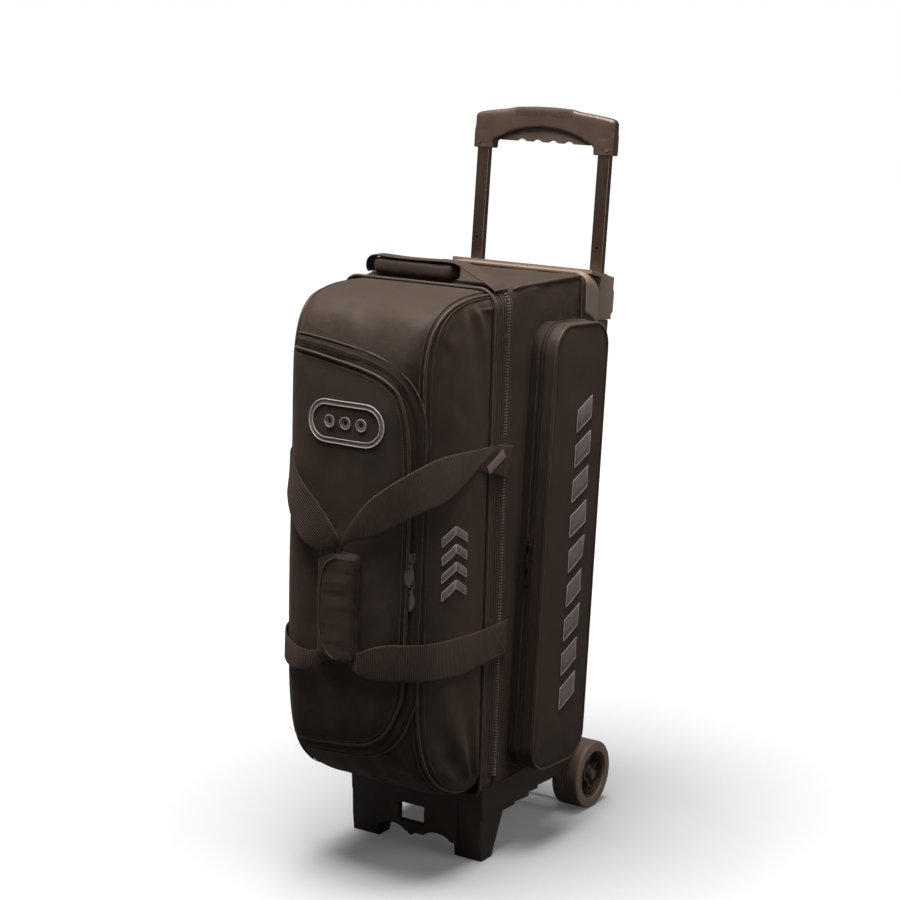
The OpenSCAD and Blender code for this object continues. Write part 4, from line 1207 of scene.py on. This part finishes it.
# the carry handle's band from left to right: X, the Y of its two edges, Z
CARRY_WEB = [(-97, 24, 46, 808.5), (-99, 22, 44, 814), (-97, 20, 42, 823), (-92, 19, 41, 829),
             (-82, 19, 41, 832), (-50, 19, 41, 831), (-20, 19, 41, 831), (20, 19, 41, 832), (42, 18, 42, 832),
             (56, 15, 43, 829), (72, 13, 45, 822), (90, 12, 47, 814), (104, 12, 48, 807), (112, 13, 48, 801)]


def carry_handle():
    low, high = cad_box("top_handle_pad")
    middle = (low[1] + high[1]) / 2
    turn = np.linspace(0, 2 * math.pi, 28, endpoint=False)
    section = [np.sign(wave) * np.abs(wave) ** 0.7 for wave in (np.cos(turn), np.sin(turn))]
    rows = []
    for v in np.linspace(0, 1, 34):
        x = low[0] + (high[0] - low[0]) * v
        end = min(v, 1 - v) * (high[0] - low[0])
        full = math.sqrt(max(0.02, 1 - (1 - min(1.0, end / 9.0)) ** 2))
        sag = 3.0 * (2 * v - 1) ** 2 - 1.5
        y = middle + 13.5 * section[0] * full
        z = (low[2] + high[2]) / 2 - 0.8 + sag * 0.3 + 11.5 * section[1] * (0.5 + 0.5 * full)
        rows.append(np.stack([np.full(len(turn), x), y, z], -1))
    rows.insert(0, np.tile(rows[0].mean(0), (len(turn), 1)))
    rows.append(np.tile(rows[-1].mean(0), (len(turn), 1)))
    fade = seam_fade(len(rows), (0, len(rows) - 1), 2)[:, None]
    grid = rumple(np.array(rows), 0.8, 26.0, 61.0, fade, squeeze=(2.0, 0.5, 0.5))
    made = weld(sheet("carry_pad", grid, CLOTH_TOP, wrap_columns=True, flip=True))
    finish_piece(soften(made), "top_handle", "webbing", "top_handle_pad")
    near, far = ([(step[0], step[k], step[3]) for step in CARRY_WEB] for k in (1, 2))
    webbing("carry_web", near, far, "top_handle", "top_handle_web", material=CLOTH_TOP, thickness=2.2)


# ---------------------------------------------------------------- motifs

DECAL_T = 0.7                                     # thickness of a sewn-on patch, and how proud it sits
BADGE_AT = (-3.0, 636.0)                          # X and Z of the badge on the shoe flap
CHEVRON_Z = (420, 444, 468, 492)
INWARD = (-1, 0, 0)                               # from the bag's right side towards its middle
BLOCK_LOW, BLOCK_STEP, BLOCKS = -205, 49, 9       # the blocks' places up the pocket


def lay_on(target, points, direction, offset):
    """Drops points onto a piece along a direction and leaves them just proud of it (millimetres)."""
    mesh = target.data
    tree = BVHTree.FromPolygons([v.co[:] for v in mesh.vertices], [p.vertices[:] for p in mesh.polygons])
    way = Vector(direction).normalized()
    laid = []
    for point in points:
        start = Vector(place(point)) - way * 0.06
        hit = tree.ray_cast(start, way, 0.2)[0]
        laid.append(in_bag_frame((hit if hit else Vector(place(point))) - way * offset * MM))
    return np.array(laid)


def decal(name, grid, target, direction, body, wrap=False):
    """A sewn-on patch: a grid of points dropped onto a piece, with a little thickness."""
    laid = lay_on(target, grid.reshape(-1, 3), direction, DECAL_T).reshape(grid.shape)
    made = sheet(name, laid, MAUVE, wrap_columns=wrap)
    if wrap:
        weld(made)
    finish_piece(thicken(made, DECAL_T), body, "fabric")


def ring_patch(centre, inner, outer, half_length, bends=24, straight=14):
    """Rows from an inner to an outer stadium outline round a centre, in two directions."""
    rows = []
    for r in np.linspace(inner, outer, 4):
        outline = []
        for side in (1, -1):
            turn = np.linspace(-math.pi / 2, math.pi / 2, bends)
            outline += [(side * (half_length + r * math.cos(a)), side * r * math.sin(a)) for a in turn]
            if half_length:
                run = np.linspace(side * half_length, -side * half_length, straight + 2)[1:-1]
                outline += [(x, side * r) for x in run]
            else:
                outline.pop()
        rows.append(np.array(outline) + centre)
    return np.array(rows)


def slanted_block(centre, width, height, slant):
    u, v = np.meshgrid(np.linspace(-0.5, 0.5, 6), np.linspace(-0.5, 0.5, 4))
    return np.stack([centre[0] + u * width, centre[1] + v * height + u * slant], -1)


def outlined(name, edge, target, direction, body, radius=0.55):
    """A thin stitched line round a sewn-on shape."""
    path = lay_on(target, resample(edge, 2.0, closed=True), direction, 1.2)
    cord(name, path, radius, body, SILVER, closed=True, sides=6)


def block_edge(grid):
    return np.vstack([grid[0, :-1], grid[:-1, -1], grid[-1, :0:-1], grid[:0:-1, 0]])


def flap_badge():
    """A stadium ring with three small rings in it, on the shoe flap."""
    flap = bpy.data.objects["flap_cover"]
    front = (0, 1, 0)

    def on_front(flat):
        return np.stack([flat[..., 0], np.full(flat.shape[:2], -170.0), flat[..., 1]], -1)
    band = on_front(ring_patch(BADGE_AT, 22.0, 28.0, 31.0))
    decal("flap_badge", band, flap, front, "door", True)
    outlined("flap_badge_inner", band[0], flap, front, "door", 0.7)
    outlined("flap_badge_outer", band[-1], flap, front, "door", 0.8)
    for number, shift in enumerate((-25, 0, 25)):
        disc = on_front(ring_patch((BADGE_AT[0] + shift, BADGE_AT[1]), 3.5, 8.0, 0.0, 15))
        decal(f"flap_ring_{number}", disc, flap, front, "door", True)
        outlined(f"flap_ring_edge_{number}", disc[-1], flap, front, "door", 0.5)


def side_chevrons():
    """Four chevrons on the right side of the door, each of two slanted blocks."""
    cover = bpy.data.objects["door_cover"]
    for number, z in enumerate(CHEVRON_Z):
        for side, end in ((-1, "front"), (1, "rear")):
            flat = slanted_block((-83 + side * 12.5, z), 24, 11, side * -14)
            grid = np.stack([np.full(flat.shape[:2], 140.0), flat[..., 0], flat[..., 1]], -1)
            decal(f"side_chevron_{number}_{end}", grid, cover, INWARD, "door")
            outlined(f"side_chevron_edge_{number}_{end}", block_edge(grid), cover, INWARD, "door", 0.45)


def pocket_blocks():
    """A row of slanted blocks up the side pocket."""
    pocket = bpy.data.objects["pocket_cover"]
    for number in range(BLOCKS):
        flat = slanted_block((8.0, BLOCK_LOW + number * BLOCK_STEP), 40, 30, 18)
        grid = pocket_place(np.full(flat.shape[:2], 180.0), flat[..., 0], flat[..., 1])
        decal(f"pocket_block_{number}", grid, pocket, INWARD, "pocket_lid")
        outlined(f"pocket_block_edge_{number}", block_edge(grid), pocket, INWARD, "pocket_lid")


# ---------------------------------------------------------------- hard parts

def each(ends, *names):
    """The names of parts that come in two, such as tyre_left and tyre_right."""
    return [f"{name}_{end}" for name in names for end in ends]


SIDES, LEVELS = ("left", "right"), ("upper", "lower")
FINISHES = {
    TRAY: ["base_tray", "rear_housing"],
    STEEL: ["base_screws", "axle", "housing_screws", "bracket_screws", "grip_rivets", "pull_rods",
            "lever_spring", *each(SIDES, "lock_pin")],
    HUB_PAINTED_LIGHT: ["axle_caps", *each(SIDES, "hub"), "tube_bushes", "lock_housings", "release_lever"],
    NYLON: each(SIDES, "wheel_bush"),
    TYRE_PAINTED_LIGHT: each(SIDES, "tyre"),
    TUBE: each(SIDES, "outer_tube", "inner_tube"),
    COLLAR_PAINTED_HIGHLIGHT: ["top_bracket"],
    GRIP: ["grip_front", "grip_rear"],
    SOFT_GRIP: ["grip_pad"],
    ZIP_METAL: ["main_slider", "main_pull",
                *each(LEVELS, "shoe_slider", "shoe_pull", "pocket_slider", "pocket_pull")],
}
EDGE_RADII = {"base_tray": 1.4, "top_bracket": 2.0, "rear_housing": 1.0,
              "tyre_left": 3.0, "tyre_right": 3.0}
SLOTS = {"top_bracket": "grip_plastic", "tyre_left": "tyre", "tyre_right": "tyre"}
GRIP_ROOM = 0.8                                   # how far the grip's inner faces clear what moves in it
GRIP_NODES = ("grip_front", "grip_rear", "grip_pad")


def fused(name, nodes, voxel, *materials):
    """One closed skin round several CAD pieces, worked out on a grid of small cubes."""
    bm = bmesh.new()
    for node in nodes:
        bm.from_mesh(frame["nodes"][node].data)
    mesh = bpy.data.meshes.new(name)
    bm.to_mesh(mesh)
    bm.free()
    obj = link(name, mesh)
    remesh = obj.modifiers.new("skin", "REMESH")
    remesh.mode = "VOXEL"
    remesh.voxel_size = voxel * MM
    remesh.use_smooth_shade = True
    obj.data = bpy.data.meshes.new_from_object(obj.evaluated_get(bpy.context.evaluated_depsgraph_get()))
    obj.modifiers.clear()
    obj.data.materials.clear()
    for material in materials:
        obj.data.materials.append(material)
    return obj


def moulded_grip():
    """The grip's two halves and its soft pad as one moulding with well rounded shoulders."""
    grip = fused("grip_body", GRIP_NODES, 1.4, GRIP, SOFT_GRIP)
    skin = grip.data
    count = len(skin.vertices)
    points = in_bag_frame(read(skin.vertices, "co").astype(float))
    one, other = read(skin.edges, "vertices", 2, np.int32).T
    near = np.bincount(np.r_[one, other], minlength=count)
    across = np.abs(points[:, 0])
    up = points[:, 1] * math.sin(LEAN) + points[:, 2] * math.cos(LEAN)
    stops = np.arange(0, across.max() + 4, 4.0)
    crest = [up[np.abs(across - min(stop, across.max() - 2)) < 4].max() for stop in stops]
    below = np.interp(across, stops, crest) - up
    depth = points[:, 1] * math.cos(LEAN) - points[:, 2] * math.sin(LEAN)
    depth = np.abs(depth - (depth.max() + depth.min()) / 2)
    outside = np.where((depth < depth.max() - 3) & (below > 6), 0.0, 1.0)
    shoulders = np.clip((26 - below) / 12, 0, 1) * outside
    for step in range(64):
        share = outside if step < 6 else shoulders
        mean = np.stack([np.bincount(np.r_[one, other], np.r_[points[other, k], points[one, k]], count) / near
                         for k in range(3)], -1)
        points += (mean - points) * 0.5 * share[:, None]
    points -= read(skin.vertices, "normal") * (GRIP_ROOM * (1 - outside))[:, None]
    write(skin, place(points))
    pad_end = cad_box("grip_pad")[1][0]
    on_pad = (across < pad_end) & (below < 14)
    for face in skin.polygons:
        face.material_index = int(on_pad[face.vertices[0]])
    finish_piece(grip, "handle", "grip_plastic", *GRIP_NODES)


def rounded(name, radius, material):
    """A copy of a hard part with its sharp edges rounded, which stands for the plain one."""
    node = frame["nodes"][name]
    mesh = node.data.copy()
    mesh.materials.clear()
    mesh.materials.append(material)
    bm = bmesh.new()
    bm.from_mesh(mesh)
    bmesh.ops.remove_doubles(bm, verts=bm.verts, dist=0.00002)
    bmesh.ops.dissolve_limit(bm, angle_limit=math.radians(1.0), verts=bm.verts, edges=bm.edges)
    weights = bm.edges.layers.float.new("bevel_weight_edge")
    for edge in bm.edges:
        sharp = len(edge.link_faces) == 2 and edge.calc_face_angle(0) > math.radians(38)
        edge[weights] = 1.0 if sharp else 0.0
    for face in bm.faces:
        face.smooth = True
    bm.to_mesh(mesh)
    bm.free()
    copy = link(f"{name}_rounded", mesh)
    bevel = copy.modifiers.new("edges", "BEVEL")
    bevel.width = radius * MM
    bevel.segments = 3
    bevel.limit_method = "WEIGHT"
    bevel.use_clamp_overlap = True
    bevel.harden_normals = True
    finish_piece(copy, node["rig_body"], SLOTS.get(name, "tray_plastic"), name)


def paint_hard_parts():
    for material, nodes in FINISHES.items():
        for name in nodes:
            node = frame["nodes"][name]
            node.data.materials.clear()
            node.data.materials.append(material)
            if name in EDGE_RADII:
                rounded(name, EDGE_RADII[name], material)
    moulded_grip()


# ---------------------------------------------------------------- studio

WORLD_LIGHT = 0.11
WARM = (1.0, 0.91, 0.83)


def area_light(name, location, target, size, power, color=(1, 1, 1)):
    data = bpy.data.lights.new(name, "AREA")
    data.shape = "RECTANGLE"
    data.size, data.size_y = size
    data.energy = power
    data.color = color
    light = link(name, data)
    light.location = location
    aim = Vector(target) - Vector(location)
    light.rotation_euler = aim.to_track_quat("-Z", "Y").to_euler()


def seen_or_lighting(tree, seen, lighting):
    """A value the camera sees and another one that everything else is lit by."""
    ray = tree.nodes.new("ShaderNodeLightPath").outputs["Is Camera Ray"]
    mixed = tree.nodes.new("ShaderNodeMapRange")
    tree.links.new(ray, mixed.inputs["Value"])
    mixed.inputs["To Min"].default_value = lighting
    mixed.inputs["To Max"].default_value = seen
    return mixed.outputs[0]


def studio():
    world = bpy.data.worlds.new("studio")
    world.use_nodes = True
    background = world.node_tree.nodes["Background"]
    background.inputs["Color"].default_value = (1, 1, 1, 1)
    strength = seen_or_lighting(world.node_tree, 1.0, WORLD_LIGHT)
    world.node_tree.links.new(strength, background.inputs["Strength"])
    bpy.context.scene.world = world
    bpy.context.scene.view_settings.view_transform = "Standard"
    s = Shader("floor", (0.6, 0.6, 0.6), 0.6, Specular_IOR_Level=0.1)
    shade = s.node("ShaderNodeCombineColor")
    level = seen_or_lighting(s.tree, 0.62, 0.09)
    for channel, tint in enumerate((0.92, 1.0, 1.09)):
        s.set(shade, channel, s.math("MULTIPLY", level, tint))
    s.paint(shade.outputs[0])
    # Painted light: for the camera the floor glows, more the farther it is from the middle of the scene where
    # the bag stands, so it reads white outside the bag's shadow.
    far = s.node("ShaderNodeVectorMath", Vector=s.coords.outputs["Object"])
    far.operation = "LENGTH"
    glow = s.ramp(far.outputs["Value"], 0.4, 2.4, 0.05, 0.95)
    s.set(s.surface, "Emission Color", (1, 1, 1, 1))
    s.set(s.surface, "Emission Strength", s.math("MULTIPLY", glow, seen_or_lighting(s.tree, 1.0, 0.1)))
    size = 14000
    points = [(-size, -size, 0), (size, -size, 0), (size, size, 0), (-size, size, 0)]
    make_object("floor", points, [(0, 1, 2, 3)], s.material, smooth=False)
    area_light("top", (-0.1, -0.35, 2.7), (0, 0, 0.6), (1.7, 1.7), 142, WARM)
    area_light("right", (2.6, 0.3, 1.5), (0, 0, 0.5), (1.4, 2.0), 21, WARM)
    area_light("front", (-0.9, -2.8, 1.7), (0, 0, 0.5), (2.0, 1.4), 2.5, WARM)


CAMERA_TARGET = np.array([-19.7, 122.4, 553.8])
AZIMUTH, ELEVATION, ROLL = (math.radians(angle) for angle in (32.32, 11.66, 1.554))
DISTANCE = 3130.2
LENS, SENSOR = 89.12, 36.0


def camera():
    back = np.array([math.sin(AZIMUTH) * math.cos(ELEVATION), -math.cos(AZIMUTH) * math.cos(ELEVATION),
                     math.sin(ELEVATION)])
    right = np.cross(-back, [0, 0, 1])
    right /= np.linalg.norm(right)
    up = np.cross(right, -back)
    turned = math.cos(ROLL) * right + math.sin(ROLL) * up
    upright = -math.sin(ROLL) * right + math.cos(ROLL) * up
    data = bpy.data.cameras.new("camera")
    data.lens, data.sensor_width = LENS, SENSOR
    data.clip_end = 60
    seen = link("camera", data)
    where = place(CAMERA_TARGET + back * DISTANCE)
    seen.matrix_world = Matrix([*np.stack((turned, upright, back, where), 1), (0, 0, 0, 1)])
    bpy.context.scene.camera = seen


door_cover()
gusset_and_zip()
body_cover()
back_cover()
inside()
shoe_flap()
side_pocket()
door_fold()
straps()
wrap()
carry_handle()
flap_badge()
side_chevrons()
pocket_blocks()
paint_hard_parts()
studio()
camera()

bpy.context.view_layer.update()
